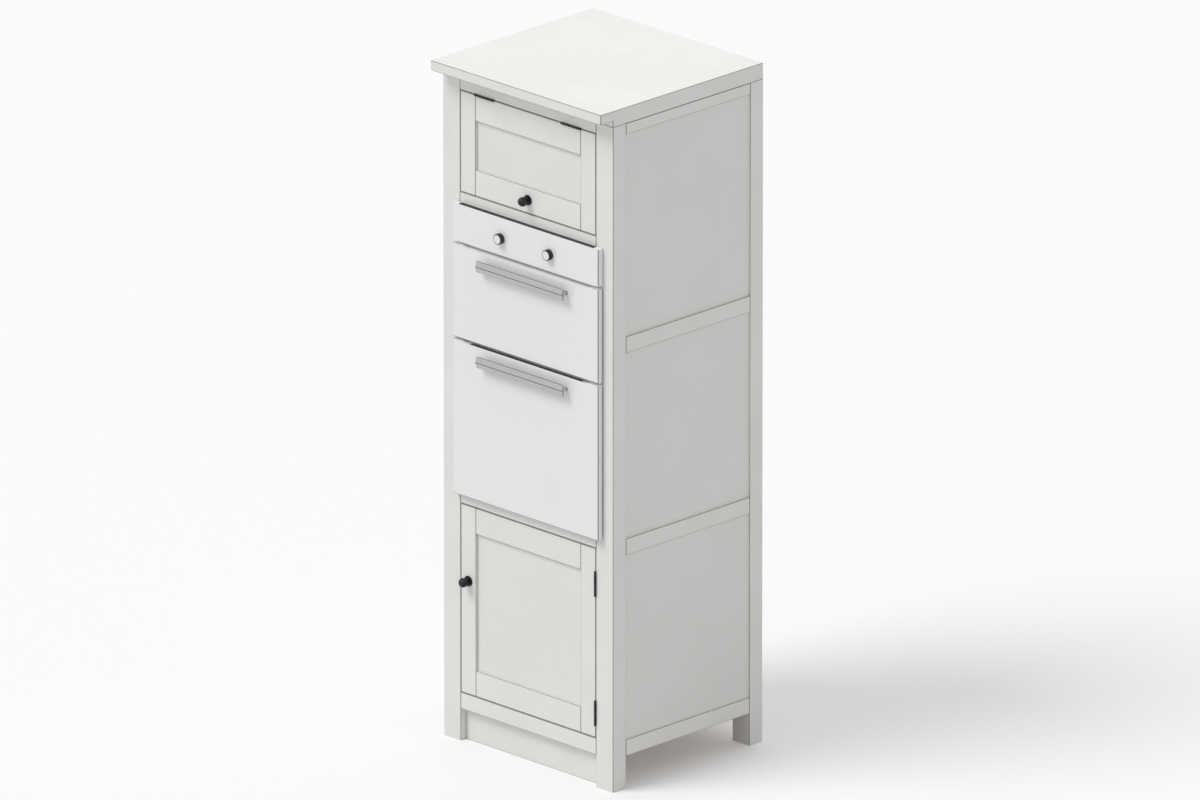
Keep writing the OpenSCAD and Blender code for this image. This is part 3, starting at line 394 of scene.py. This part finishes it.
def bare_timber(name, axis):
    """Clear lacquered pale timber with growth lines along the board."""
    s = Shader(name)
    bend = s.noise(along(axis, 1.6, 9.0), detail=2.0)
    line = s.noise(along(axis, 2.2, 70.0), detail=6.0, roughness=0.6, distortion=0.8)
    fine = s.noise(along(axis, 14.0, 900.0), detail=3.0)
    growth = s.math("ADD", s.math("MULTIPLY", line, 0.7), s.math("MULTIPLY", bend, 0.3))
    tone = s.ramp(growth, [
        (0.34, (0.46, 0.31, 0.17)), (0.47, (0.60, 0.44, 0.27)), (0.62, (0.68, 0.53, 0.35))
    ])
    s.colour(s.mix(s.spread(fine, 0.58, 0.75, 0.0, 0.35), tone, (0.40, 0.27, 0.15)))
    s.rough(line, 0.42, 0.58)
    s.relief(fine, 0.12 * MM, 0.5)
    return s.material


def black_iron():
    """Waxed black iron: uneven cast skin, rubbed paler where hands touch it."""
    s = Shader("black_iron")
    skin = s.noise(260.0, detail=5.0, roughness=0.65)
    lumps = s.noise(70.0, detail=2.0)
    s.set(Metallic=0.75)
    s.colour(s.mottle(lumps, (0.018, 0.018, 0.020), (0.050, 0.049, 0.048), (0.35, 0.68)))
    s.rough(skin, 0.34, 0.60)
    s.relief(lumps, 0.4 * MM, 0.5)
    s.relief(skin, 0.12 * MM, 0.6)
    return s.material


def white_enamel():
    """Gloss white enamel on pressed steel, with a slow orange peel, and near black painted shade
    lines on the rounds.
    """
    s = Shader("white_enamel")
    s.set(Coat_Weight=0.6, Coat_Roughness=0.06)
    cloud = s.noise(2.2, detail=2.0)
    face = s.mottle(cloud, (0.875, 0.878, 0.882), (0.895, 0.897, 0.900))
    # The rounds take near black painted shade lines
    s.colour(s.mix(s.math("MULTIPLY", s.turning(), ENAMEL_ROUND_SHADE_SHARE), face, ENAMEL_ROUND_SHADE))
    s.rough(s.noise(14.0, detail=4.0), 0.16, 0.26, (0.35, 0.7))
    s.relief(s.noise(120.0, detail=2.0), 0.05 * MM, 0.35)
    return s.material


def dark_enamel():
    """Vitreous oven enamel: blue-black with pale flecks."""
    s = Shader("dark_enamel")
    s.set(Coat_Weight=0.5, Coat_Roughness=0.08)
    fleck = s.spread(s.cells(330.0), 0.10, 0.22, 1.0, 0.0)
    some = s.spread(s.noise(210.0, detail=1.0), 0.50, 0.58)
    base = s.mottle(s.noise(20.0), (0.022, 0.025, 0.034), (0.036, 0.040, 0.052))
    s.colour(s.mix(s.math("MULTIPLY", fleck, some), base, (0.42, 0.44, 0.48)))
    s.rough(s.noise(30.0), 0.20, 0.34)
    s.relief(s.noise(160.0), 0.06 * MM, 0.4)
    return s.material


def brushed_metal(name):
    """One of the brushed metals: fine parallel scratches along one axis."""
    axis, low, high, rough_low, rough_high = BRUSHED_METALS[name]
    s = Shader(name)
    s.set(Metallic=1.0)
    lines = s.noise(along(axis, 6.0, 2600.0), detail=3.0)
    haze = s.noise(18.0, detail=3.0)
    s.colour(s.mottle(lines, low, high))
    both = s.math("ADD", s.math("MULTIPLY", lines, 0.6), s.math("MULTIPLY", haze, 0.4))
    s.rough(both, rough_low, rough_high, (0.35, 0.65))
    s.relief(lines, 0.03 * MM, 0.5)
    return s.material


def bright_wire():
    """Plated wire: bright, with a slight smear of heat."""
    s = Shader("bright_wire")
    s.set(Metallic=1.0)
    smear = s.noise(16.0, detail=3.0)
    s.colour(s.mottle(smear, (0.78, 0.78, 0.80), (0.70, 0.66, 0.60), (0.35, 0.72)))
    s.rough(s.noise(90.0), 0.12, 0.24)
    return s.material


def zinc_steel():
    """Zinc plated sheet with its soft crystal spangle."""
    s = Shader("zinc_steel")
    s.set(Metallic=1.0)
    spangle = s.cells(55.0, output="Color")
    fine = s.noise(40.0, detail=4.0)
    s.colour(s.mottle(spangle, (0.55, 0.56, 0.575), (0.62, 0.63, 0.645), (0.2, 0.8)))
    s.rough(fine, 0.34, 0.50)
    s.relief(fine, 0.05 * MM, 0.3)
    return s.material


def element_sheath():
    """Oxidised heater tube: dark, with straw and blue heat tints."""
    s = Shader("element_sheath")
    s.set(Metallic=0.9)
    heat = s.noise(26.0, detail=3.0)
    s.colour(s.ramp(heat, [
        (0.30, (0.050, 0.048, 0.050)), (0.52, (0.110, 0.090, 0.070)), (0.70, (0.075, 0.080, 0.105))
    ]))
    s.rough(s.noise(200.0), 0.42, 0.62)
    s.relief(s.noise(700.0), 0.05 * MM, 0.5)
    return s.material


def screw_steel(name, low, high):
    """A screw head between two colours, with fine marks of wear."""
    s = Shader(name)
    s.set(Metallic=1.0)
    s.colour(s.mottle(s.noise(900.0), low, high, (0.35, 0.65)))
    s.rough(s.noise(700.0), 0.28, 0.44)
    s.relief(s.noise(2600.0), 0.02 * MM, 0.4)
    return s.material


def screw_recess_shade():
    """Near black painted shade for the bottom of a screw's recess."""
    s = Shader("screw_recess_shade")
    s.colour(s.mottle(s.noise(800.0), (0.010, 0.010, 0.010), (0.022, 0.021, 0.020)))
    s.rough(s.noise(600.0), 0.55, 0.75)
    return s.material


def seal_rubber():
    """Matte heat-proof seal with a fine skin."""
    s = Shader("seal_rubber")
    s.colour(s.mottle(s.noise(50.0), (0.030, 0.030, 0.031), (0.048, 0.047, 0.046)))
    s.rough(s.noise(120.0), 0.68, 0.84)
    s.relief(s.noise(1100.0), 0.08 * MM, 0.6)
    return s.material


def switch_plastic():
    """Black moulded plastic with a spark-eroded texture."""
    s = Shader("switch_plastic")
    s.colour(s.mottle(s.noise(35.0), (0.028, 0.028, 0.030), (0.040, 0.040, 0.042)))
    s.rough(s.noise(90.0), 0.46, 0.60)
    s.relief(s.noise(1500.0), 0.05 * MM, 0.6)
    return s.material


def control_knob_plastic(name, node):
    """Black moulded knob with a white face that leaves a black rim."""
    s = Shader(name)
    low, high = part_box(node)
    face_y = low[1] + KNOB_FACE_RISE
    radius = (high[0] - low[0]) / 2 - KNOB_RIM
    aside = s.math("SUBTRACT", s.axis(0), (low[0] + high[0]) / 2)
    up = s.math("SUBTRACT", s.axis(2), (low[2] + high[2]) / 2)
    reach = s.math("SQRT", s.math("ADD", s.math("POWER", aside, 2.0), s.math("POWER", up, 2.0)))
    inside = s.spread(reach, radius - KNOB_RIM_BLUR, radius + KNOB_RIM_BLUR, 1.0, 0.0)
    in_front = s.spread(s.axis(1), face_y - KNOB_RISE_BLUR, face_y + KNOB_RISE_BLUR, 1.0, 0.0)
    face = s.math("MULTIPLY", inside, in_front)
    black = s.mottle(s.noise(40.0), (0.016, 0.016, 0.017), (0.026, 0.026, 0.027))
    white = s.mottle(s.noise(25.0), (0.84, 0.84, 0.84), (0.88, 0.88, 0.88))
    s.colour(s.mix(face, black, white))
    s.rough(s.noise(70.0), 0.26, 0.38)
    s.relief(s.noise(900.0), 0.04 * MM, 0.4)
    return s.material


# ---------------------------------------------------------------- CAD nodes

def dress(material, *names):
    """Gives CAD nodes one material."""
    for name in names:
        mesh = frame["nodes"][name].data
        mesh.materials.clear()
        mesh.materials.append(material)


def ease(width, edge, *names, steps=EASE_STEPS, sharp=SHARP_TURN):
    """Rounds the edges of CAD nodes where faces turn by more than sharp, in the edge material,
    which paints dark shade lines on them.

    The bevel keeps its full width beside small holes, and an even width on any outline."""
    for name in names:
        node = frame["nodes"][name]
        weld = node.modifiers.new("weld", "WELD")
        weld.merge_threshold = WELD_REACH
        flat = node.modifiers.new("flat", "DECIMATE")
        flat.decimate_type = "DISSOLVE"
        flat.angle_limit = math.radians(FLAT_TURN)
        bevel = node.modifiers.new("ease", "BEVEL")
        bevel.width = width
        bevel.segments = steps
        bevel.use_clamp_overlap = False
        bevel.loop_slide = False
        bevel.limit_method = "ANGLE"
        bevel.angle_limit = math.radians(sharp)
        bevel.harden_normals = True
        if edge is not None:
            node.data.materials.append(edge)
            bevel.material = 1


# CAD nodes by what they are made of. Stiles and posts run along Z, the next two groups along
# X and along Y
POSTS = ("front_left_post", "front_right_post", "rear_left_post", "rear_right_post")
STILES = ("flip_door_stiles", "cupboard_door_stiles")
CROSSWISE = (
    "top_slab", "front_top_rail", "over_oven_rail", "under_oven_rail", "front_bottom_rail",
    "rear_rails", "plinth_board", "flip_door_rails", "cupboard_door_rails",
)
LENGTHWISE = ("left_side_rails", "right_side_rails")
BOARDS = (
    "left_side_panels", "right_side_panels", "back_panels", "flip_door_panel",
    "cupboard_door_panel",
)
DECKS = ("flip_cupboard_deck", "oven_deck", "bottom_deck", "cupboard_shelf")
IRONWORK = (
    "hinge_frame_leaves", "hinge_pins", "flip_door_knob", "flip_door_hinge_leaves",
    "cupboard_door_knob", "cupboard_door_hinge_leaves",
)
ZINC_PLATED = (
    "shelf_pins", "oven_casing", "oven_hinge_brackets", "grill_door_hinges",
    "grill_door_pins", "oven_door_hinges", "oven_door_pins",
)
OVEN_FRONTS = ("oven_front_frame", "control_panel", "grill_door_front", "oven_door_front")
HANDLES = ("grill_door_handle", "oven_door_handle")
CONTROL_KNOBS = ("grill_control_knob", "oven_control_knob")


def dress_carcass():
    """Painted timber and boards, bare decks, and their eased edges."""
    # The eased edges and the posts' rounds get dark painted shade lines, with spots of real rubbed
    # wear
    edge = worn_and_shaded_edge("worn_and_shaded_edge")
    dress(painted_timber("painted_timber_z", "z"), *POSTS, *STILES)
    dress(painted_timber("painted_timber_x", "x"), *CROSSWISE)
    dress(painted_timber("painted_timber_y", "y"), *LENGTHWISE)
    dress(painted_board(), *BOARDS)
    dress(bare_timber("bare_timber_x", "x"), *DECKS)
    dress(bare_timber("bare_timber_y", "y"), "deck_battens")
    ease(POST_EASE, edge, *POSTS)
    ease(TIMBER_EASE, edge, *STILES, *CROSSWISE, *LENGTHWISE)
    ease(DECK_EASE, None, *DECKS)


def dress_ironwork():
    """Black hinges and knobs with the hinges' screws, and the zinc plated pieces."""
    dress(black_iron(), *IRONWORK)
    dress(zinc_steel(), *ZINC_PLATED)
    hinge_screws(screw_steel("black_screw", *BLACK_SCREW), screw_recess_shade())


def dress_oven():
    """Fronts, cavities, handles, knobs and what is inside, with the vents and screws."""
    dress(white_enamel(), *OVEN_FRONTS)
    dress(dark_enamel(), "grill_cavity", "oven_cavity", "fan_baffle")
    dress(brushed_metal("satin_steel"), *HANDLES)
    # Near black painted shade on the handles' crease and eased edges
    ease(HANDLE_EASE, brushed_metal("steel_edge_shade"), *HANDLES, steps=1, sharp=CREASE_TURN)
    dress(brushed_metal("fan_steel"), "oven_fan")
    dress(brushed_metal("liner_steel"), "grill_door_liner", "oven_door_liner")
    dress(bright_wire(), "grill_rack", "oven_racks")
    for node in CONTROL_KNOBS:
        dress(control_knob_plastic(node + "_plastic", node), node)
    moulded = switch_plastic()
    dress(moulded, "control_switches")
    vents(moulded)
    oven_screws(screw_steel("zinc_screw", *ZINC_SCREW), screw_recess_shade())
    dress(seal_rubber(), "door_seals")
    dress(element_sheath(), "grill_element", "ring_element")


# ---------------------------------------------------------------- screws

def ring(mesh, radius, height, count):
    """A closed ring of vertices round the Z axis."""
    step = 2 * math.pi / count
    return [
        mesh.verts.new((radius * math.cos(i * step), radius * math.sin(i * step), height))
        for i in range(count)
    ]


def cross(mesh, radius, shares, height):
    """The outline of a cross-shaped recess, twelve vertices round the Z axis."""
    reach, half_width = (radius * share for share in shares)
    corner = ((reach, -half_width), (reach, half_width), (half_width, half_width))
    verts = []
    for quarter in range(4):
        turn = Matrix.Rotation(quarter * math.pi / 2, 2)
        for point in corner:
            x, y = turn @ Vector(point)
            verts.append(mesh.verts.new((x, y, height)))
    return verts


def loop_edges(mesh, verts):
    """The edges of a closed ring of vertices, new ones where there is none yet."""
    pairs = zip(verts, verts[1:] + verts[:1])
    return [mesh.edges.get(pair) or mesh.edges.new(pair) for pair in pairs]


def walls(mesh, low, high):
    """Faces between two rings of the same length, outside to the right of low to high."""
    count = len(low)
    for i in range(count):
        j = (i + 1) % count
        mesh.faces.new((low[i], low[j], high[j], high[i]))


def screw_head(mesh, place, radius, proud):
    """A low domed screw head with a cross recess, standing on the plane Z = 0 of place."""
    head = bmesh.new()
    base = ring(head, radius, 0.0, SCREW_SIDES)
    rim = ring(head, radius * SCREW_RIM_R, proud * SCREW_RIM_HEIGHT, SCREW_SIDES)
    top = ring(head, radius * SCREW_TOP_R, proud, SCREW_SIDES)
    mouth = cross(head, radius, SCREW_MOUTH, proud)
    bottom = cross(head, radius, SCREW_BOTTOM, proud * (1 - SCREW_DEPTH))
    head.faces.new(list(reversed(base)))
    walls(head, base, rim)
    walls(head, rim, top)
    walls(head, bottom, mouth)
    bmesh.ops.triangle_fill(
        head, use_beauty=True, edges=loop_edges(head, top) + loop_edges(head, mouth)
    )
    # The recess's bottom takes the second material, near black painted shade
    recess_shade = head.faces.new(bottom)
    bmesh.ops.recalc_face_normals(head, faces=head.faces)
    recess_shade.material_index = 1
    head.transform(place)
    part = bpy.data.meshes.new("part")
    head.to_mesh(part)
    head.free()
    mesh.from_mesh(part)
    bpy.data.meshes.remove(part)


def facing(point, normal, turn):
    """A frame at a point whose Z axis is the normal, turned about it by an angle in degrees."""
    swing = Vector(normal).to_track_quat("Z", "Y").to_matrix().to_4x4()
    return Matrix.Translation(point) @ swing @ Matrix.Rotation(math.radians(turn), 4, "Z")


def add_piece(name, mesh, body, slot, *materials):
    """Turns a bmesh into a piece that rides on a body. Its slot is not used."""
    data = bpy.data.meshes.new(name)
    mesh.to_mesh(data)
    mesh.free()
    for material in materials:
        data.materials.append(material)
    piece = bpy.data.objects.new(name, data)
    bpy.context.scene.collection.objects.link(piece)
    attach(piece, body)
    return piece


def screws(name, body, slot, places, radius, proud, *materials):
    """A set of equal screws as one piece. Each stands at (point, normal), turned its own way."""
    mesh = bmesh.new()
    for index, (point, normal) in enumerate(places):
        screw_head(mesh, facing(point, normal, SCREW_TURN * index), radius, proud)
    add_piece(name, mesh, body, slot, *materials)


def leaf_screws(centre, along_leaf, into_leaf, normal):
    """Places of three screws on a hinge leaf: the middle one lies further from the barrel."""
    places = []
    for step in (-1, 0, 1):
        aside = HINGE_SCREW_INSET + (HINGE_SCREW_STAGGER if step == 0 else 0.0)
        point = centre + along_leaf * (step * HINGE_SCREW_PITCH) + into_leaf * aside
        places.append((point, normal))
    return places


def joint_axis(name):
    """The point that the record gives on a joint's axis."""
    return next(joint["pos_m"] for joint in frame["joints"] if joint["name"] == name)


def hinge_middles(node, axis):
    """Where the two hinges of a door have their middles along an axis, from its leaves."""
    low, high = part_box(node)
    return low[axis] + HINGE_LENGTH / 2, high[axis] - HINGE_LENGTH / 2


def hinge_screws(iron, recess_shade):
    """Screws of the four butt hinges, on the frame's leaves and on the doors' leaves."""
    right, back, up = Vector((1, 0, 0)), Vector((0, 1, 0)), Vector((0, 0, 1))
    y_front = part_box("flip_door_stiles")[0][1]
    z_axis = joint_axis("flip_door_hinge")[2]
    x_axis = joint_axis("cupboard_door_hinge")[0]
    on_frame, on_flap, on_door = [], [], []
    for x in hinge_middles("flip_door_hinge_leaves", 0):
        middle = Vector((x, y_front, z_axis))
        on_frame += leaf_screws(middle + up * HINGE_LEAF_GAP, right, back, -up)
        on_flap += leaf_screws(middle - up * HINGE_LEAF_GAP, right, back, up)
    for z in hinge_middles("cupboard_door_hinge_leaves", 2):
        middle = Vector((x_axis, y_front, z))
        on_frame += leaf_screws(middle + right * HINGE_LEAF_GAP, up, back, -right)
        on_door += leaf_screws(middle - right * HINGE_LEAF_GAP, up, back, right)
    for name, body, places in (
        ("frame_hinge_screws", "carcass", on_frame),
        ("flip_door_hinge_screws", "flip_door", on_flap),
        ("cupboard_door_hinge_screws", "cupboard_door", on_door),
    ):
        screws(name, body, "black_iron", places, HINGE_SCREW_R, HINGE_SCREW_PROUD, iron, recess_shade)


def oven_screws(steel, recess_shade):
    """Screws through the oven's front frame into the posts, and through the fan's baffle."""
    low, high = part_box("oven_front_frame")
    front = Vector((0, -1, 0))
    levels = [low[2] + (high[2] - low[2]) * share for share in FRAME_SCREW_LEVELS]
    places = [
        (Vector((x, low[1], z)), front)
        for x in (low[0] + FRAME_SCREW_INSET, high[0] - FRAME_SCREW_INSET)
        for z in levels
    ]
    screws("oven_frame_screws", "carcass", "zinc_steel", places, FRAME_SCREW_R,
           FRAME_SCREW_PROUD, steel, recess_shade)
    low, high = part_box("fan_baffle")
    places = [
        (Vector((x, low[1], z)), front)
        for x in (low[0] + BAFFLE_SCREW_INSET, high[0] - BAFFLE_SCREW_INSET)
        for z in (low[2] + BAFFLE_SCREW_INSET, high[2] - BAFFLE_SCREW_INSET)
    ]
    screws("baffle_screws", "carcass", "zinc_steel", places, BAFFLE_SCREW_R,
           BAFFLE_SCREW_PROUD, steel, recess_shade)


# ---------------------------------------------------------------- vents

def cell_solid(xs, ys, zs, filled):
    """A closed mesh of the filled cells of a grid, with faces only where they meet the air."""
    mesh = bmesh.new()
    verts = {}

    def vert(key):
        """The vertex at a crossing of grid lines, made when it is first asked for."""
        if key not in verts:
            verts[key] = mesh.verts.new((xs[key[0]], ys[key[1]], zs[key[2]]))
        return verts[key]

    size = (len(xs) - 1, len(ys) - 1, len(zs) - 1)

    def solid(cell):
        """Whether a cell is in the grid and filled."""
        return all(0 <= c < n for c, n in zip(cell, size)) and filled(*cell)

    sides = (
        ((-1, 0, 0), ((0, 0, 0), (0, 0, 1), (0, 1, 1), (0, 1, 0))),
        ((1, 0, 0), ((1, 0, 0), (1, 1, 0), (1, 1, 1), (1, 0, 1))),
        ((0, -1, 0), ((0, 0, 0), (1, 0, 0), (1, 0, 1), (0, 0, 1))),
        ((0, 1, 0), ((0, 1, 0), (0, 1, 1), (1, 1, 1), (1, 1, 0))),
        ((0, 0, -1), ((0, 0, 0), (0, 1, 0), (1, 1, 0), (1, 0, 0))),
        ((0, 0, 1), ((0, 0, 1), (1, 0, 1), (1, 1, 1), (0, 1, 1))),
    )
    for i in range(size[0]):
        for j in range(size[1]):
            for k in range(size[2]):
                if not solid((i, j, k)):
                    continue
                for step, corners in sides:
                    if not solid((i + step[0], j + step[1], k + step[2])):
                        mesh.faces.new([vert((i + a, j + b, k + c)) for a, b, c in corners])
    return mesh


def slot_lines(starts, length):
    """Grid lines round each slot: outside of its lip, inside, inside and outside again."""
    lines = []
    for start in starts:
        low, high = start + LIP_GAP, start + length - LIP_GAP
        lines += [low, low + LIP_T, high - LIP_T, high]
    return lines


def vent_grille(name, body, middle_x, y_front, z_top, slots, material):
    """A black grille on a top flange, with a lip down into each slot of the flange."""
    count, rows = slots
    step = VENT_LENGTH + VENT_WEB
    first_x = middle_x - (count * step - VENT_WEB) / 2
    first_y = y_front + VENT_FRONT
    columns = slot_lines([first_x + i * step for i in range(count)], VENT_LENGTH)
    lanes = slot_lines([first_y + i * VENT_PITCH for i in range(rows)], VENT_WIDTH)
    xs = [columns[0] - GRILLE_BORDER, *columns, columns[-1] + GRILLE_BORDER]
    ys = [lanes[0] - GRILLE_BORDER, *lanes, lanes[-1] + GRILLE_BORDER]
    zs = [z_top - LIP_DEPTH, z_top, z_top + GRILLE_T]

    def filled(i, j, k):
        """The plate is open over each slot, and below it there are only the lips."""
        hole = i % 4 == 2 and j % 4 == 2
        between = i % 4 == 0 or j % 4 == 0
        return not hole and (k == 1 or not between)

    piece = add_piece(name, cell_solid(xs, ys, zs, filled), body, "switch_body", material)
    bevel = piece.modifiers.new("ease", "BEVEL")
    bevel.width = GRILLE_EASE
    bevel.segments = 1


def pleated_shade_baffle(name, body, x_low, x_high, y_low, y_high, z_top, material):
    """A pleated black sheet under the slots, painted shade that keeps them dark: the pleats run
    from front to back.
    """
    count = 2 * round((x_high - x_low) / SHADE_BAFFLE_PLEAT)
    step = (x_high - x_low) / count
    upper = [
        (x_low + i * step, z_top - (SHADE_BAFFLE_DEPTH if i % 2 else 0.0))
        for i in range(count + 1)
    ]
    outline = upper + [(x, z - SHADE_BAFFLE_SKIN) for x, z in reversed(upper)]
    mesh = bmesh.new()
    near = [mesh.verts.new((x, y_low, z)) for x, z in outline]
    far = [mesh.verts.new((x, y_high, z)) for x, z in outline]
    walls(mesh, near, far)
    last = len(outline) - 1
    for i in range(count):
        for row in (near, far):
            mesh.faces.new((row[i], row[i + 1], row[last - i - 1], row[last - i]))
    bmesh.ops.recalc_face_normals(mesh, faces=mesh.faces)
    add_piece(name, mesh, body, "switch_body", material)


def vents(material):
    """Grilles of the control panel's top and of the oven door's top, with black sheets of painted
    shade under them.
    """
    panel_low, panel_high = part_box("control_panel")
    door_low, door_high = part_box("oven_door_front")
    middle = (panel_low[0] + panel_high[0]) / 2
    for name, body, slots, y_back, z_top in (
        ("control_panel", "carcass", PANEL_VENTS, panel_high[1], panel_high[2]),
        ("oven_door", "oven_door", DOOR_VENTS, door_high[1] - SHEET, door_high[2] - DOOR_DIP),
    ):
        half = slots[0] * (VENT_LENGTH + VENT_WEB) / 2
        vent_grille(name + "_grille", body, middle, panel_low[1], z_top, slots, material)
        # Under the grille, a black sheet of painted shade keeps the slots dark
        pleated_shade_baffle(
            name + "_baffle", body, middle - half, middle + half,
            panel_low[1] + SHEET + SHADE_BAFFLE_GAP, y_back - SHADE_BAFFLE_GAP,
            z_top - SHEET - SHADE_BAFFLE_DROP, material,
        )


# ---------------------------------------------------------------- stage

def floor():
    """Plain pale floor. It throws less light back than it shows, so the sides stay readable."""
    mesh = bpy.data.meshes.new("floor")
    half = FLOOR_SIDE / 2
    corners = [(-half, -half, 0), (half, -half, 0), (half, half, 0), (-half, half, 0)]
    mesh.from_pydata(corners, [], [(0, 1, 2, 3)])
    piece = bpy.data.objects.new("floor", mesh)
    bpy.context.scene.collection.objects.link(piece)
    s = Shader("floor")
    path = s.nodes.new("ShaderNodeLightPath")
    seen = s.math("MAXIMUM", path.outputs["Is Camera Ray"], path.outputs["Is Glossy Ray"])
    s.colour(s.mix(seen, (FLOOR_BOUNCE,) * 3, (FLOOR_SEEN,) * 3))
    s.set(Roughness=0.9, Specular_IOR_Level=0.0, Emission_Color=(1, 1, 1, 1))
    s.put(s.bsdf.inputs["Emission Strength"], s.math("MULTIPLY", seen, FLOOR_GLOW))
    mesh.materials.append(s.material)


def world():
    """Even studio light, with a white backdrop for the camera and for reflections."""
    sky = bpy.data.worlds.new("studio")
    bpy.context.scene.world = sky
    sky.use_nodes = True
    nodes, links = sky.node_tree.nodes, sky.node_tree.links
    background = nodes["Background"]
    path = nodes.new("ShaderNodeLightPath")
    seen = path.outputs["Is Camera Ray"]
    for ray in ("Is Glossy Ray", "Is Transmission Ray"):
        either = nodes.new("ShaderNodeMath")
        either.operation = "MAXIMUM"
        links.new(seen, either.inputs[0])
        links.new(path.outputs[ray], either.inputs[1])
        seen = either.outputs[0]
    level = nodes.new("ShaderNodeMapRange")
    level.inputs["To Min"].default_value = WORLD_LEVEL
    level.inputs["To Max"].default_value = BACKDROP_LEVEL
    links.new(seen, level.inputs["Value"])
    links.new(level.outputs["Result"], background.inputs["Strength"])
    background.inputs["Color"].default_value = (1, 1, 1, 1)


def sun(name, strength, softness, source):
    """A sun that shines from the direction of source, as wide as softness in degrees."""
    light = bpy.data.lights.new(name, "SUN")
    light.energy = strength
    light.angle = math.radians(softness)
    lamp = bpy.data.objects.new(name, light)
    lamp.rotation_mode = "QUATERNION"
    lamp.rotation_quaternion = Vector(source).to_track_quat("Z", "Y")
    bpy.context.scene.collection.objects.link(lamp)


def camera():
    """The camera at the drawing's angle, as far away as the lens and the width ask."""
    data = bpy.data.cameras.new("camera")
    data.lens = CAMERA_LENS
    data.sensor_width = CAMERA_SENSOR
    data.clip_end = CAMERA_CLIP_END
    eye = bpy.data.objects.new("camera", data)
    azimuth, elevation = math.radians(CAMERA_AZIMUTH), math.radians(CAMERA_ELEVATION)
    back = Vector((
        math.sin(azimuth) * math.cos(elevation),
        -math.cos(azimuth) * math.cos(elevation),
        math.sin(elevation),
    ))
    distance = CAMERA_LENS / CAMERA_SENSOR * VIEW_WIDTH
    eye.location = Vector(CAMERA_TARGET) + back * distance
    eye.rotation_mode = "QUATERNION"
    eye.rotation_quaternion = (-back).to_track_quat("-Z", "Y")
    bpy.context.scene.collection.objects.link(eye)
    bpy.context.scene.camera = eye


# ---------------------------------------------------------------- the scene

bpy.context.scene.view_settings.view_transform = "Standard"
camera()
world()
sun("key", KEY_STRENGTH, KEY_SOFTNESS, KEY_FROM)
sun("fill", FILL_STRENGTH, FILL_SOFTNESS, FILL_FROM)
floor()
dress_carcass()
dress_ironwork()
dress_oven()
